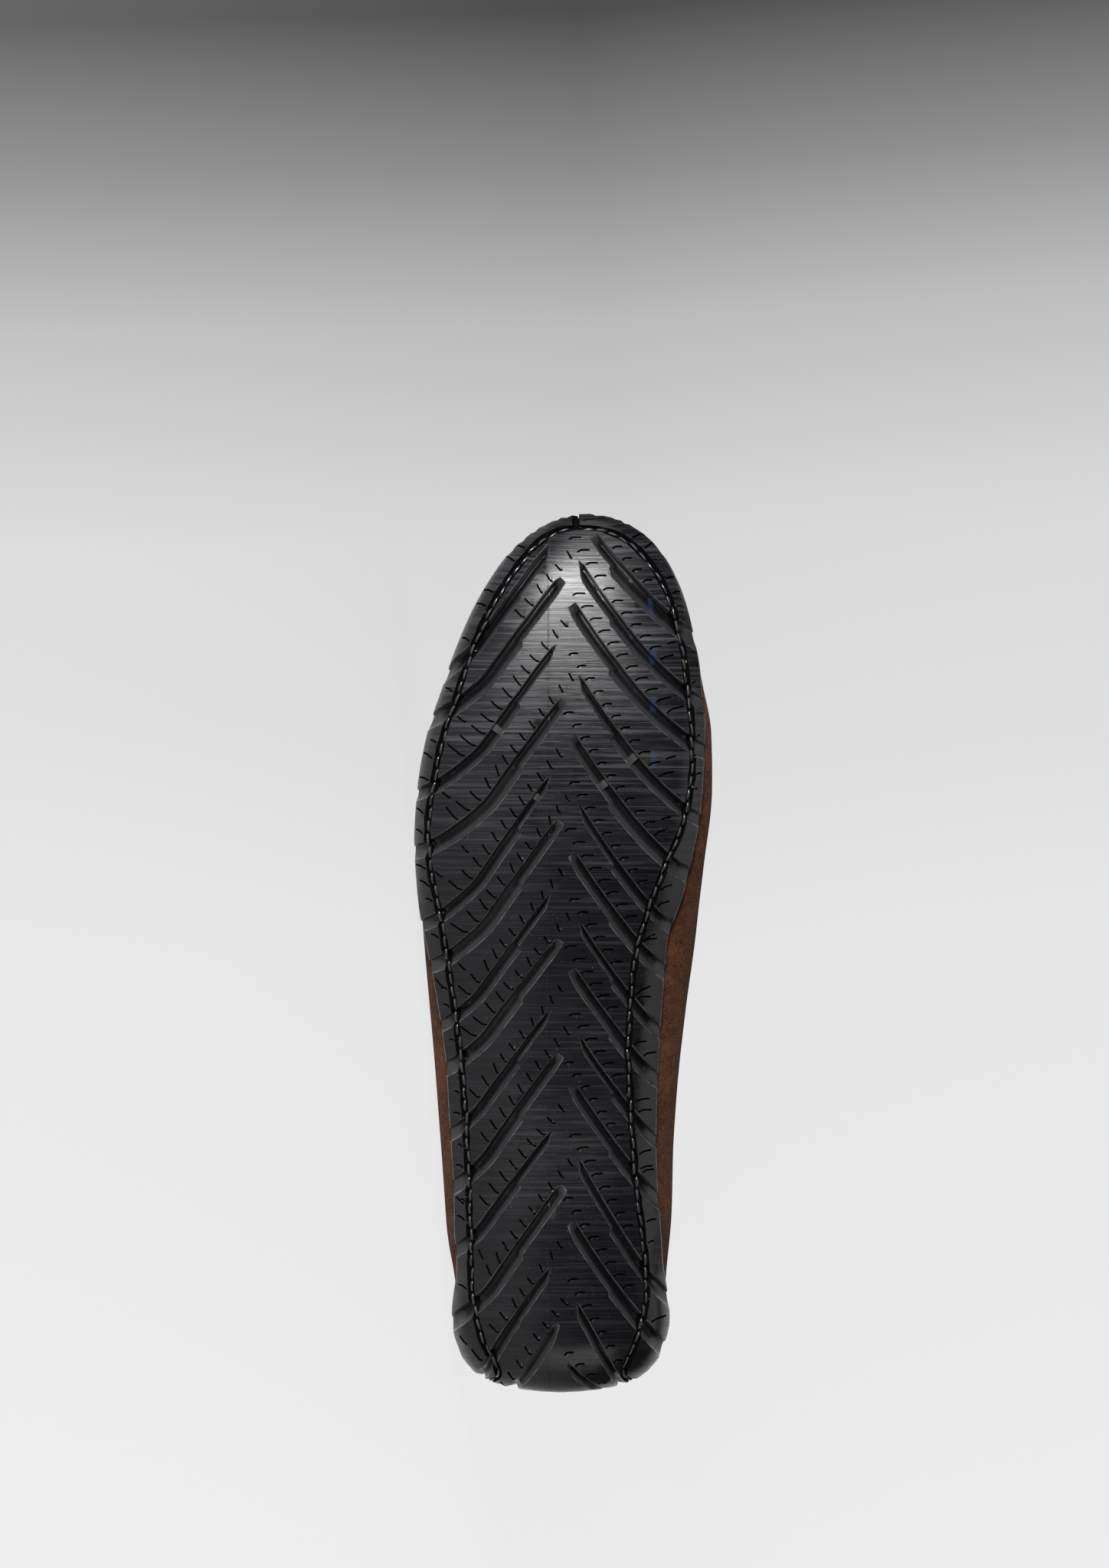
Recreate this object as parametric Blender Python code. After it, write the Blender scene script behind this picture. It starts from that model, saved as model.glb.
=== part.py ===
"""Driving moccasin for the right foot, lying on its lateral side with the tread facing -Y.

The shoe is modelled upright, toe towards +X, medial side towards +Y and up along +Z, on one
last whose skin is the outside of the upper. The outsole, upper, apron and insole are all worked
out from that skin. The finished shoe is then laid down on the three points that carry it.
"""
import math

import bmesh
import bpy
from mathutils import Matrix, Vector, geometry

# Driving dimensions of the last, in metres
LENGTH = 0.2815
BALL_WIDTH = 0.094
HEEL_WIDTH = 0.069
INSTEP_HEIGHT = 0.072
TOE_HEIGHT = 0.033
SIDE_HEIGHT = 0.049
HEEL_HEIGHT = 0.060
TOE_SWING = 0.0085
TOE_SPRING = 0.010
ARCH_RISE = 0.004
HEEL_ROUND = 0.026
TOE_ROUND = 0.055
HEEL_CURVE_LENGTH = 0.016
HEEL_CURVE_HEIGHT = 0.009
TOE_CURVE_LENGTH = 0.024
TOE_CURVE_RISE = 0.006
TOE_CURVE_DROP = 0.007
BACK_LEAN = 0.006
BACK_LEAN_REACH = 0.070

# Where the foot's parts lie along the shoe, as shares of the length
HEEL_SHARE = 0.082
ARCH_START = 0.144
ARCH_FULL = 0.368
ARCH_EASE = 0.409
ARCH_END = 0.653
BALL_SHARE = 0.694

# Lean of the counter, as shares of its heights
LEAN_START = 0.30
LEAN_FULL = 0.62
LEAN_POWER = 1.6

# Collar opening
THROAT = 0.560 * LENGTH
COLLAR_WIDTH = 0.826 * HEEL_WIDTH
COLLAR_FRONT = 0.220 * LENGTH
COLLAR_RISE_START = 0.335 * LENGTH

# Thicknesses and clearances
WALL = 0.0018
GAP = 0.0003
APRON_WALL = 0.0016
INSOLE_THICKNESS = 0.003
INSOLE_MARGIN = 0.0105
INSOLE_GAP = 0.0005
INSOLE_START = 1.10 * HEEL_CURVE_LENGTH
INSOLE_END = LENGTH - 1.05 * TOE_CURVE_LENGTH
INSOLE_ROUNDING = 0.35
SOLE_THICKNESS = 0.0048
RIM_THICKNESS = 0.0024
TAB_THICKNESS = 0.0032
RIM_START = 0.62
HEEL_THINNING = 0.70 * HEEL_ROUND
TOE_THINNING = 0.50 * TOE_ROUND

# Tread grooves
GROOVE_DEPTH = 0.0026
GROOVE_FLOOR = 0.0012
GROOVE_WIDTH = 0.0052
GROOVE_SLOPE = 1.45
GROOVE_FLATTENING = 8.5
GROOVE_CLEAR = 0.0016
GROOVE_OVERRUN = 1.20
GROOVE_POINT = 0.35
GROOVE_HEEL_STOP = 0.006
GROOVE_STEEP_FOOT = 0.86
GROOVE_SLOPED_FOOT = -0.10

# Apron seam
APRON_WIDTH = 0.65 * BALL_WIDTH
APRON_FRONT = 0.918 * LENGTH
APRON_ROUND = 0.170 * LENGTH
APRON_HORN = 0.354 * LENGTH
COLLAR_BAND = 0.93

# Exponents of the arcs: the section's flat bottom and rounded top, the plan's toe and heel
BOTTOM_POWER = 2.6
TOP_POWER = 2.25
PLAN_POWER = 2.2
HEEL_POWER = 2.9

# Mesh fineness
REAR_STATIONS = 20
VAMP_STATIONS = 12
TIP_STATIONS = 5
SOLE_COLUMNS = 12
WALL_COLUMNS = 6
APRON_COLUMNS = 3
GROOVE_STEPS = 4
INSOLE_ROWS = 24
INSOLE_COLUMNS = 8

# Half widths of the skin, as shares of the local width: heel width behind, ball width ahead
WIDTH_TABLE = (
    ("along", "lateral", "medial"),
    (0.00, 0.500, 0.500),
    (0.10, 0.500, 0.500),
    (0.185, 0.536, 0.515),
    (0.285, 0.530, 0.497),
    (0.39, 0.518, 0.491),
    (0.49, 0.511, 0.491),
    (0.59, 0.501, 0.508),
    (0.695, 0.474, 0.530),
    (0.755, 0.448, 0.519),
    (0.815, 0.403, 0.473),
    (0.88, 0.370, 0.421),
    (0.94, 0.353, 0.399),
    (1.00, 0.346, 0.391),
)

# Heights along the shoe: level of the widest line as a share of the instep height, and how far
# the top line follows the heel height and the crown of the vamp the instep height
HEIGHT_TABLE = (
    ("along", "widest", "heel", "vamp"),
    (0.00, 0.29, 1.00, 1.00),
    (0.05, 0.29, 0.86, 1.00),
    (0.12, 0.30, 0.50, 1.00),
    (0.20, 0.31, 0.20, 1.00),
    (0.30, 0.33, 0.03, 1.00),
    (0.44, 0.31, 0.00, 1.00),
    (0.56, 0.25, 0.00, 1.00),
    (0.645, 0.21, 0.00, 0.84),
    (0.745, 0.19, 0.00, 0.58),
    (0.845, 0.19, 0.00, 0.32),
    (0.93, 0.21, 0.00, 0.14),
    (1.00, 0.25, 0.00, 0.00),
)

# How far the outsole wraps round the section: 0 is the keel and 0.5 the widest line
RIM_TABLE = (
    ("along", "lateral", "medial"),
    (0.000, 0.640, 0.640),
    (0.010, 0.610, 0.610),
    (0.026, 0.480, 0.480),
    (0.044, 0.410, 0.410),
    (0.064, 0.420, 0.420),
    (0.093, 0.400, 0.400),
    (0.145, 0.330, 0.330),
    (0.235, 0.310, 0.280),
    (0.360, 0.310, 0.260),
    (0.440, 0.330, 0.255),
    (0.510, 0.370, 0.255),
    (0.570, 0.430, 0.300),
    (0.635, 0.460, 0.330),
    (0.715, 0.470, 0.350),
    (0.795, 0.470, 0.375),
    (0.880, 0.480, 0.440),
    (0.950, 0.500, 0.500),
    (1.000, 0.540, 0.540),
)

# Inner ends of the tread grooves, as shares of the length, from toe to heel
MEDIAL_GROOVES = (
    ("along", "inset"),
    (0.988, 0.0085),
    (0.954, 0.0060),
    (0.905, 0.0040),
    (0.822, 0.0060),
    (0.753, 0.0040),
    (0.673, 0.0060),
    (0.618, 0.0040),
    (0.537, 0.0060),
    (0.483, 0.0040),
    (0.406, 0.0060),
    (0.348, 0.0040),
    (0.262, 0.0060),
    (0.192, 0.0040),
    (0.100, 0.0060),
)
LATERAL_GROOVES = (
    ("along", "inset"),
    (0.972, 0.0030),
    (0.937, 0.0020),
    (0.858, 0.0030),
    (0.796, 0.0010),
    (0.705, 0.0035),
    (0.656, 0.0010),
    (0.569, 0.0035),
    (0.519, 0.0000),
    (0.435, 0.0040),
    (0.385, 0.0005),
    (0.298, 0.0030),
    (0.232, 0.0000),
    (0.137, 0.0035),
)

MATERIALS = {
    "outsole": ((0.018, 0.018, 0.020, 1.0), 0.55),
    "upper": ((0.110, 0.048, 0.027, 1.0), 0.90),
    "apron": ((0.122, 0.054, 0.030, 1.0), 0.90),
    "insole": ((0.240, 0.150, 0.085, 1.0), 0.70),
}
DENSITIES = {"outsole": 1150.0, "upper": 850.0, "apron": 850.0, "insole": 600.0}

LATERAL = -1
MEDIAL = 1
SIDE_NAMES = {LATERAL: "lateral", MEDIAL: "medial"}
WIDEST = 0.5
TOP_EDGE = 1.0
STEP = 0.004
SLACK = 1e-6

# The floor facet faces this far to the lateral side at least
LYING = -0.8


def clear_scene():
    """Remove whatever the file opened with."""
    for item in list(bpy.data.objects):
        bpy.data.objects.remove(item, do_unlink=True)


def smooth(value):
    """Ease from 0 to 1 with level ends."""
    value = min(max(value, 0.0), 1.0)
    return value * value * (3.0 - 2.0 * value)


def read_table(table, along, column):
    """Read a named column of a table at a share of the length, on a smooth curve through its rows."""
    place = table[0].index(column)
    rows = [row[0] for row in table[1:]]
    values = [row[place] for row in table[1:]]
    along = min(max(along, rows[0]), rows[-1])
    last = len(rows) - 2
    index = next((i for i in range(last) if along <= rows[i + 1]), last)
    span = rows[index + 1] - rows[index]
    share = (along - rows[index]) / span
    rise = (values[index + 1] - values[index]) / span
    before = rise
    after = rise
    if index > 0:
        before = (values[index] - values[index - 1]) / (rows[index] - rows[index - 1])
    if index < last:
        after = (values[index + 2] - values[index + 1]) / (rows[index + 2] - rows[index + 1])
    start = 0.0 if before * rise <= 0.0 else 2.0 * before * rise / (before + rise)
    end = 0.0 if after * rise <= 0.0 else 2.0 * after * rise / (after + rise)
    return (
        values[index] * (1.0 + 2.0 * share) * (1.0 - share) ** 2
        + values[index + 1] * share * share * (3.0 - 2.0 * share)
        + start * span * share * (1.0 - share) ** 2
        - end * span * share * share * (1.0 - share)
    )


def end_rounding(x, heel_round, toe_round, front):
    """Share of the full width left where the plan rounds off at the heel and at the toe."""
    share = 1.0
    if x < heel_round:
        share = max(1.0 - ((heel_round - x) / heel_round) ** HEEL_POWER, 0.0) ** (1.0 / HEEL_POWER)
    if x > front - toe_round:
        reach = min((x - front + toe_round) / toe_round, 1.0)
        share *= max(1.0 - reach ** PLAN_POWER, 0.0) ** (1.0 / PLAN_POWER)
    return share


def past_ball(x):
    """How far towards the toe a place is, from 0 at the ball to 1 at the tip."""
    return max((x / LENGTH - BALL_SHARE) / (1.0 - BALL_SHARE), 0.0)


def spine(x):
    """Sideways place of the keel line, which swings to the medial side towards the toe."""
    return TOE_SWING * past_ball(x) ** 1.5


def half_width(x, side):
    """Distance from the keel line to the widest line of the skin."""
    along = x / LENGTH
    growth = smooth((along - HEEL_SHARE) / (BALL_SHARE - HEEL_SHARE))
    local = HEEL_WIDTH + (BALL_WIDTH - HEEL_WIDTH) * growth
    share = read_table(WIDTH_TABLE, along, SIDE_NAMES[side])
    return local * share * end_rounding(x, HEEL_ROUND, TOE_ROUND, LENGTH)


def curve_up(distance, length):
    """Share of the rise of a quarter round that starts at a distance from the end."""
    reach = min(max(1.0 - distance / length, 0.0), 1.0)
    return 1.0 - math.sqrt(max(1.0 - reach * reach, 0.0))


def keel_height(x):
    """Height of the skin's bottom line: heel curve, arch, toe spring and toe curve."""
    along = x / LENGTH
    rising = smooth((along - ARCH_START) / (ARCH_FULL - ARCH_START))
    falling = smooth((ARCH_END - along) / (ARCH_END - ARCH_EASE))
    arch = ARCH_RISE * rising * falling
    spring = TOE_SPRING * past_ball(x) ** 2
    heel = HEEL_CURVE_HEIGHT * curve_up(x, HEEL_CURVE_LENGTH)
    toe = TOE_CURVE_RISE * curve_up(LENGTH - x, TOE_CURVE_LENGTH)
    return arch + spring + heel + toe


def widest_height(x):
    """Height of the skin's widest line."""
    base = INSTEP_HEIGHT * read_table(HEIGHT_TABLE, x / LENGTH, "widest")
    return base + 0.5 * TOE_SPRING * past_ball(x) ** 2


def top_height(x):
    """Height of the collar edge behind the throat, and of the vamp's crown ahead of it."""
    along = x / LENGTH
    if x < THROAT:
        heel = (HEEL_HEIGHT - SIDE_HEIGHT) * read_table(HEIGHT_TABLE, along, "heel")
        rise = smooth((x - COLLAR_RISE_START) / (THROAT - COLLAR_RISE_START))
        return SIDE_HEIGHT + heel + (INSTEP_HEIGHT - SIDE_HEIGHT) * rise
    crown = TOE_HEIGHT + (INSTEP_HEIGHT - TOE_HEIGHT) * read_table(HEIGHT_TABLE, along, "vamp")
    return crown - TOE_CURVE_DROP * curve_up(LENGTH - x, TOE_CURVE_LENGTH)


def collar_half(x):
    """Half the width of the collar opening, zero ahead of the throat."""
    if x >= THROAT:
        return 0.0
    half = 0.5 * COLLAR_WIDTH * end_rounding(x, HEEL_ROUND, TOE_ROUND, LENGTH)
    front = THROAT - COLLAR_FRONT
    if x > front:
        half *= math.sqrt(max(1.0 - ((x - front) / COLLAR_FRONT) ** 2, 0.0))
    return half


def back_lean(x, z):
    """Forward lean of the counter above its fullest point."""
    above = max((z - LEAN_START * INSTEP_HEIGHT) / HEEL_HEIGHT, 0.0)
    near = max(1.0 - x / BACK_LEAN_REACH, 0.0)
    return BACK_LEAN * (above / LEAN_FULL) ** LEAN_POWER * near * near


def bend_angle(share, power):
    """Angle at which an arc of this power has gone out to a share of its width."""
    return math.asin(min(max(share, 0.0), 1.0) ** (0.5 * power))


def top_angle(share):
    """Angle up the top arc at which it has come in to a share of its width."""
    return 0.5 * math.pi - bend_angle(share, TOP_POWER)


def skin(x, girth):
    """Point of the skin at a distance from the heel, girth from -1 lateral edge to +1 medial edge."""
    side = LATERAL if girth < 0.0 else MEDIAL
    reach = abs(girth)
    width = half_width(x, side)
    widest = widest_height(x)
    if reach <= WIDEST:
        angle = reach * math.pi
        out = width * math.sin(angle) ** (2.0 / BOTTOM_POWER)
        keel = keel_height(x)
        z = widest - (widest - keel) * max(math.cos(angle), 0.0) ** (2.0 / BOTTOM_POWER)
    else:
        open_share = collar_half(x) / width if width > SLACK else COLLAR_WIDTH / HEEL_WIDTH
        last_angle = top_angle(open_share)
        angle = (reach - WIDEST) / (TOP_EDGE - WIDEST) * last_angle
        out = width * max(math.cos(angle), 0.0) ** (2.0 / TOP_POWER)
        full = (top_height(x) - widest) / math.sin(last_angle) ** (2.0 / TOP_POWER)
        z = widest + full * math.sin(angle) ** (2.0 / TOP_POWER)
    return Vector((x + back_lean(x, z), spine(x) + side * out, z))


def station(turn):
    """Distance from the heel for an even parameter, closer together at heel and toe."""
    return LENGTH * 0.5 * (1.0 - math.cos(math.pi * turn))


def wrapped_skin(turn, girth):
    """Skin point where a parameter may run past the heel, toe or crown line to the other side."""
    if turn < 0.0 or turn > 1.0:
        turn = -turn if turn < 0.0 else 2.0 - turn
        girth = -girth
    if abs(girth) > TOP_EDGE:
        girth = math.copysign(2.0 * TOP_EDGE - abs(girth), -girth)
    return skin(station(turn), girth)


def skin_normal(turn, girth):
    """Outward normal of the skin."""
    x = station(turn)
    if abs(girth) < SLACK:
        turn = min(max(turn, 0.5 * STEP), 1.0 - 0.5 * STEP)
    along = wrapped_skin(turn + STEP, girth) - wrapped_skin(turn - STEP, girth)
    edge = TOP_EDGE if x < THROAT - SLACK else TOP_EDGE + STEP
    low = max(girth - STEP, -edge)
    high = min(girth + STEP, edge)
    round_section = wrapped_skin(turn, high) - wrapped_skin(turn, low)
    normal = along.cross(round_section).normalized()
    middle = min(max(x, 0.5 * HEEL_ROUND), LENGTH - 0.5 * TOE_ROUND)
    inside = Vector((middle, spine(x), widest_height(x)))
    return normal if normal.dot(wrapped_skin(turn, girth) - inside) > 0.0 else -normal


def turn_of(x):
    """Even parameter of a distance from the heel."""
    return math.acos(1.0 - 2.0 * min(max(x / LENGTH, 0.0), 1.0)) / math.pi


def lifted_skin(x, girth, lift):
    """Skin point moved out along its normal, or in where the lift is negative."""
    turn = turn_of(x)
    return wrapped_skin(turn, girth) + lift * skin_normal(turn, girth)


def rim_girth(x, side):
    """Girth at which the outsole's rim ends."""
    return read_table(RIM_TABLE, x / LENGTH, SIDE_NAMES[side])


def sole_thickness(x, share):
    """Rubber thickness, full under the foot and thinner at the rim, the heel tab and the toe."""
    to_rim = smooth((abs(share) - RIM_START) / (1.0 - RIM_START))
    at_end = smooth(1.0 - x / HEEL_THINNING) + smooth(1.0 - (LENGTH - x) / TOE_THINNING)
    middle = SOLE_THICKNESS + (TAB_THICKNESS - SOLE_THICKNESS) * min(at_end, 1.0)
    return middle + (RIM_THICKNESS - middle) * to_rim


def sole_point(x, girth, outer):
    """Point on the outsole's outer face, or on the inner face that lies on the wrap."""
    share = girth / rim_girth(x, LATERAL if girth < 0.0 else MEDIAL)
    return lifted_skin(x, girth, GAP + (sole_thickness(x, share) if outer else 0.0))


def add_object(name, bm):
    """Make an object with its own material from a finished mesh."""
    bmesh.ops.recalc_face_normals(bm, faces=bm.faces)
    mesh = bpy.data.meshes.new(name)
    bm.to_mesh(mesh)
    bm.free()
    item = bpy.data.objects.new(name, mesh)
    bpy.context.collection.objects.link(item)
    colour, roughness = MATERIALS.get(name, ((0.5, 0.5, 0.5, 1.0), 0.5))
    material = bpy.data.materials.new(name + "_material")
    material.use_nodes = True
    shader = material.node_tree.nodes["Principled BSDF"]
    shader.inputs["Base Color"].default_value = colour
    shader.inputs["Roughness"].default_value = roughness
    shader.inputs["Metallic"].default_value = 0.0
    mesh.materials.append(material)
    mesh.shade_smooth()
    mesh.set_sharp_from_angle(angle=math.radians(35.0))
    return item


def add_grid(bm, points, mirrored=0):
    """Skin a grid of points with triangles and give back its vertices.

    The diagonals of the first columns, as many as are mirrored, run the other way, so that every
    layer splits its cells alike on both sides of the shoe.
    """
    grid = [[bm.verts.new(point) for point in row] for row in points]
    for lower, upper in zip(grid, grid[1:]):
        for left in range(len(lower) - 1):
            corners = (lower[left], lower[left + 1], upper[left + 1], upper[left])
            if left < mirrored:
                corners = corners[1:] + corners[:1]
            bm.faces.new((corners[0], corners[1], corners[2]))
            bm.faces.new((corners[0], corners[2], corners[3]))
    return grid


def close_between(bm, first, second):
    """Bridge two equal rows of vertices with quads."""
    for index in range(len(first) - 1):
        bm.faces.new((first[index], first[index + 1], second[index + 1], second[index]))


def weld(bm):
    """Merge the vertices that the folded ends of a grid share, and drop the fins that this leaves."""
    bmesh.ops.remove_doubles(bm, verts=bm.verts, dist=1e-6)
    bmesh.ops.dissolve_degenerate(bm, edges=bm.edges, dist=1e-6)
    fins = {face for edge in bm.edges if len(edge.link_faces) == 1 for face in edge.link_faces}
    bmesh.ops.delete(bm, geom=list(fins), context="FACES")


def turns(count, first=0.0, last=1.0):
    """Even parameters from first to last."""
    return [first + (last - first) * index / count for index in range(count + 1)]


def stations():
    """Distances from the heel, closer together at the heel, the throat, the apron's end and the toe."""
    rear = [0.5 * THROAT * (1.0 - math.cos(math.pi * turn)) for turn in turns(REAR_STATIONS)]
    reach = APRON_FRONT - THROAT
    vamp = [THROAT + 0.5 * reach * (1.0 - math.cos(math.pi * turn)) for turn in turns(VAMP_STATIONS)]
    reach = LENGTH - APRON_FRONT
    tip = [APRON_FRONT + reach * math.sin(0.5 * math.pi * turn) for turn in turns(TIP_STATIONS)]
    return rear[:-1] + vamp[:-1] + tip


def sole_girths(x):
    """Even steps of girth across the outsole, from rim to rim."""
    half = SOLE_COLUMNS // 2
    lateral = turns(half, -rim_girth(x, LATERAL), 0.0)
    medial = turns(half, 0.0, rim_girth(x, MEDIAL))
    return lateral[:-1] + medial


def section_girths(x):
    """Girths of a section: across the outsole, up each wall to the apron seam, on to the top edge."""
    lateral, medial = (seam_girth(x, side) for side in (LATERAL, MEDIAL))
    under = sole_girths(x)
    return (
        turns(APRON_COLUMNS, -TOP_EDGE, -lateral)[:-1]
        + turns(WALL_COLUMNS, -lateral, under[0])[:-1]
        + under
        + turns(WALL_COLUMNS, under[-1], medial)[1:]
        + turns(APRON_COLUMNS, medial, TOP_EDGE)[1:]
    )


def build_upper():
    """The moccasin's wrap: one leather shell from collar edge round under the foot."""
    bm = bmesh.new()
    rows = stations()
    half = APRON_COLUMNS + WALL_COLUMNS + SOLE_COLUMNS // 2
    outer, inner = (
        add_grid(bm, [[lifted_skin(x, girth, lift) for girth in section_girths(x)] for x in rows], half)
        for lift in (0.0, -WALL)
    )
    collar = sum(1 for x in rows if x <= THROAT + SLACK)
    for edge in (0, -1):
        close_between(bm, [row[edge] for row in outer[:collar]], [row[edge] for row in inner[:collar]])
    weld(bm)
    return add_object("upper", bm)


def build_outsole():
    """The rubber outsole with its rim, heel tab and tread grooves."""
    bm = bmesh.new()
    half = SOLE_COLUMNS // 2
    inner, outer = (
        add_grid(bm, [[sole_point(x, girth, face) for girth in sole_girths(x)] for x in stations()], half)
        for face in (False, True)
    )
    for edge in (0, -1):
        close_between(bm, [row[edge] for row in inner], [row[edge] for row in outer])
    weld(bm)
    outsole = add_object("outsole", bm)
    cutter = build_groove_cutter()
    grooves = outsole.modifiers.new("grooves", "BOOLEAN")
    grooves.operation = "DIFFERENCE"
    grooves.solver = "EXACT"
    grooves.use_self = True
    grooves.object = cutter
    return outsole, cutter


def groove_fall(reach):
    """How far a groove has run towards the heel at a distance out from its inner end."""
    return GROOVE_SLOPE * reach - GROOVE_FLATTENING * reach * reach


def groove_path(along, inset, side):
    """Distances and girths along a groove, from its pointed inner end to just past the rim."""
    start = along * LENGTH
    inner = side * inset
    offset = inner - spine(start)
    width = half_width(start, LATERAL if offset < 0.0 else MEDIAL)
    first = math.copysign(bend_angle(abs(offset) / width, BOTTOM_POWER) / math.pi, offset)
    steepness = min((start - GROOVE_HEEL_STOP) / groove_fall(0.5 * HEEL_WIDTH), 1.0)
    path = [(start, first)]
    for index in range(1, GROOVE_STEPS + 1):
        x = path[-1][0]
        for _ in range(6):
            last = side * GROOVE_OVERRUN * rim_girth(x, side)
            girth = first + (last - first) * index / GROOVE_STEPS
            reach = abs(skin(x, girth).y - inner)
            x = start - steepness * groove_fall(reach)
        path.append((x, girth))
    return path


def add_groove(bm, along, inset, side):
    """One groove: a steep wall towards the toe, a floor and a sloped face towards the heel."""
    path = groove_path(along, inset, side)
    points = [sole_point(x, girth, True) for x, girth in path]
    loops = []
    for index, (x, girth) in enumerate(path):
        behind = points[max(index - 1, 0)]
        ahead = points[min(index + 1, len(points) - 1)]
        normal = skin_normal(turn_of(x), girth)
        across = normal.cross(ahead - behind).normalized()
        if across.x < 0.0:
            across.negate()
        wide = 0.5 * GROOVE_WIDTH * (1.0 if index else GROOVE_POINT)
        share = girth / rim_girth(x, LATERAL if girth < 0.0 else MEDIAL)
        deep = min(GROOVE_DEPTH, sole_thickness(x, share) - GROOVE_FLOOR)
        section = (
            (wide, GROOVE_CLEAR),
            (GROOVE_STEEP_FOOT * wide, -deep),
            (GROOVE_SLOPED_FOOT * wide, -deep),
            (-wide - 0.5 * GROOVE_CLEAR, GROOVE_CLEAR),
        )
        loops.append([bm.verts.new(points[index] + across * a + normal * b) for a, b in section])
    for before, after in zip(loops, loops[1:]):
        close_between(bm, before + before[:1], after + after[:1])
    bm.faces.new(loops[0])
    bm.faces.new(loops[-1])


def build_groove_cutter():
    """All the groove cutters as one hidden object."""
    bm = bmesh.new()
    for side, table in ((MEDIAL, MEDIAL_GROOVES), (LATERAL, LATERAL_GROOVES)):
        for along, inset in table[1:]:
            add_groove(bm, along, inset, side)
    cutter = add_object("groove_cutter", bm)
    cutter.hide_render = True
    cutter.display_type = "WIRE"
    return cutter


def apron_half(x):
    """Half width of the apron inside its seam, rounding off towards the toe."""
    reach = min(max((x - APRON_FRONT + APRON_ROUND) / APRON_ROUND, 0.0), 1.0)
    return 0.5 * APRON_WIDTH * max(1.0 - reach ** PLAN_POWER, 0.0) ** (1.0 / PLAN_POWER)


def seam_girth(x, side):
    """Girth of the apron seam, or of a band just under the collar edge behind the apron."""
    if x >= APRON_FRONT:
        return TOP_EDGE
    width = half_width(x, side)
    share = apron_half(x) / width if width > SLACK else 1.0
    open_share = collar_half(x) / width if width > SLACK else 1.0
    if share <= open_share:
        return COLLAR_BAND
    girth = WIDEST + (TOP_EDGE - WIDEST) * top_angle(share) / top_angle(open_share)
    return min(girth, COLLAR_BAND) if x < THROAT else girth


def build_apron():
    """The apron, laid on the wrap inside the moccasin seam, with a horn along each collar side."""
    bm = bmesh.new()
    rows = [x for x in stations() if APRON_HORN <= x <= APRON_FRONT]
    for side in (LATERAL, MEDIAL):
        faces = []
        for lift in (GAP, GAP + APRON_WALL):
            faces.append(add_grid(bm, [
                [
                    lifted_skin(x, side * girth, lift)
                    for girth in turns(APRON_COLUMNS, seam_girth(x, side), TOP_EDGE)
                ]
                for x in rows
            ]))
        under, over = faces
        close_between(bm, [row[0] for row in under], [row[0] for row in over])
        close_between(bm, under[0], over[0])
        open_rows = [index for index, x in enumerate(rows) if x <= THROAT + SLACK]
        close_between(bm, [under[i][-1] for i in open_rows], [over[i][-1] for i in open_rows])
    weld(bm)
    return add_object("apron", bm)


def floor_point(x, y, lift):
    """Point over the inside of the skin's bottom, lifted along its slope."""
    def height(px, py):
        offset = py - spine(px)
        width = half_width(px, LATERAL if offset < 0.0 else MEDIAL)
        keel = keel_height(px)
        rest = max(1.0 - (abs(offset) / width) ** BOTTOM_POWER, 0.0)
        return widest_height(px) - (widest_height(px) - keel) * rest ** (1.0 / BOTTOM_POWER)

    slope_x = (height(x + GAP, y) - height(x - GAP, y)) / (2.0 * GAP)
    slope_y = (height(x, y + GAP) - height(x, y - GAP)) / (2.0 * GAP)
    normal = Vector((-slope_x, -slope_y, 1.0)).normalized()
    return Vector((x, y, height(x, y))) + lift * normal


def build_insole():
    """The insole, lying inside on the bottom of the wrap."""
    bm = bmesh.new()
    faces = []
    for lift in (WALL + INSOLE_GAP, WALL + INSOLE_GAP + INSOLE_THICKNESS):
        rows = []
        for turn in turns(INSOLE_ROWS):
            round_off = math.sin(math.pi * turn) ** INSOLE_ROUNDING
            x = INSOLE_START + (INSOLE_END - INSOLE_START) * 0.5 * (1.0 - math.cos(math.pi * turn))
            left = (half_width(x, LATERAL) - INSOLE_MARGIN) * round_off
            right = (half_width(x, MEDIAL) - INSOLE_MARGIN) * round_off
            line = []
            for share in turns(INSOLE_COLUMNS, -1.0, 1.0):
                out = share * (left if share < 0.0 else right)
                line.append(floor_point(x, spine(x) + out, lift))
            rows.append(line)
        faces.append(add_grid(bm, rows))
    under, over = faces
    for edge in (0, -1):
        close_between(bm, [row[edge] for row in under], [row[edge] for row in over])
    weld(bm)
    return add_object("insole", bm)


def evaluated_points(item, graph):
    """Vertices and triangles of an object after its modifiers."""
    mesh = item.evaluated_get(graph).to_mesh()
    mesh.calc_loop_triangles()
    points = [vertex.co.copy() for vertex in mesh.vertices]
    triangles = [tuple(triangle.vertices) for triangle in mesh.loop_triangles]
    item.evaluated_get(graph).to_mesh_clear()
    return points, triangles


def weigh(pieces, graph):
    """Centre of mass of the pieces and all their vertices."""
    mass = 0.0
    moment = Vector()
    cloud = []
    for item in pieces:
        points, triangles = evaluated_points(item, graph)
        cloud.extend(points)
        density = DENSITIES[item.name]
        for a, b, c in triangles:
            part = density * points[a].dot(points[b].cross(points[c])) / 6.0
            mass += part
            moment += part * (points[a] + points[b] + points[c]) / 4.0
    return moment / mass, cloud


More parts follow.
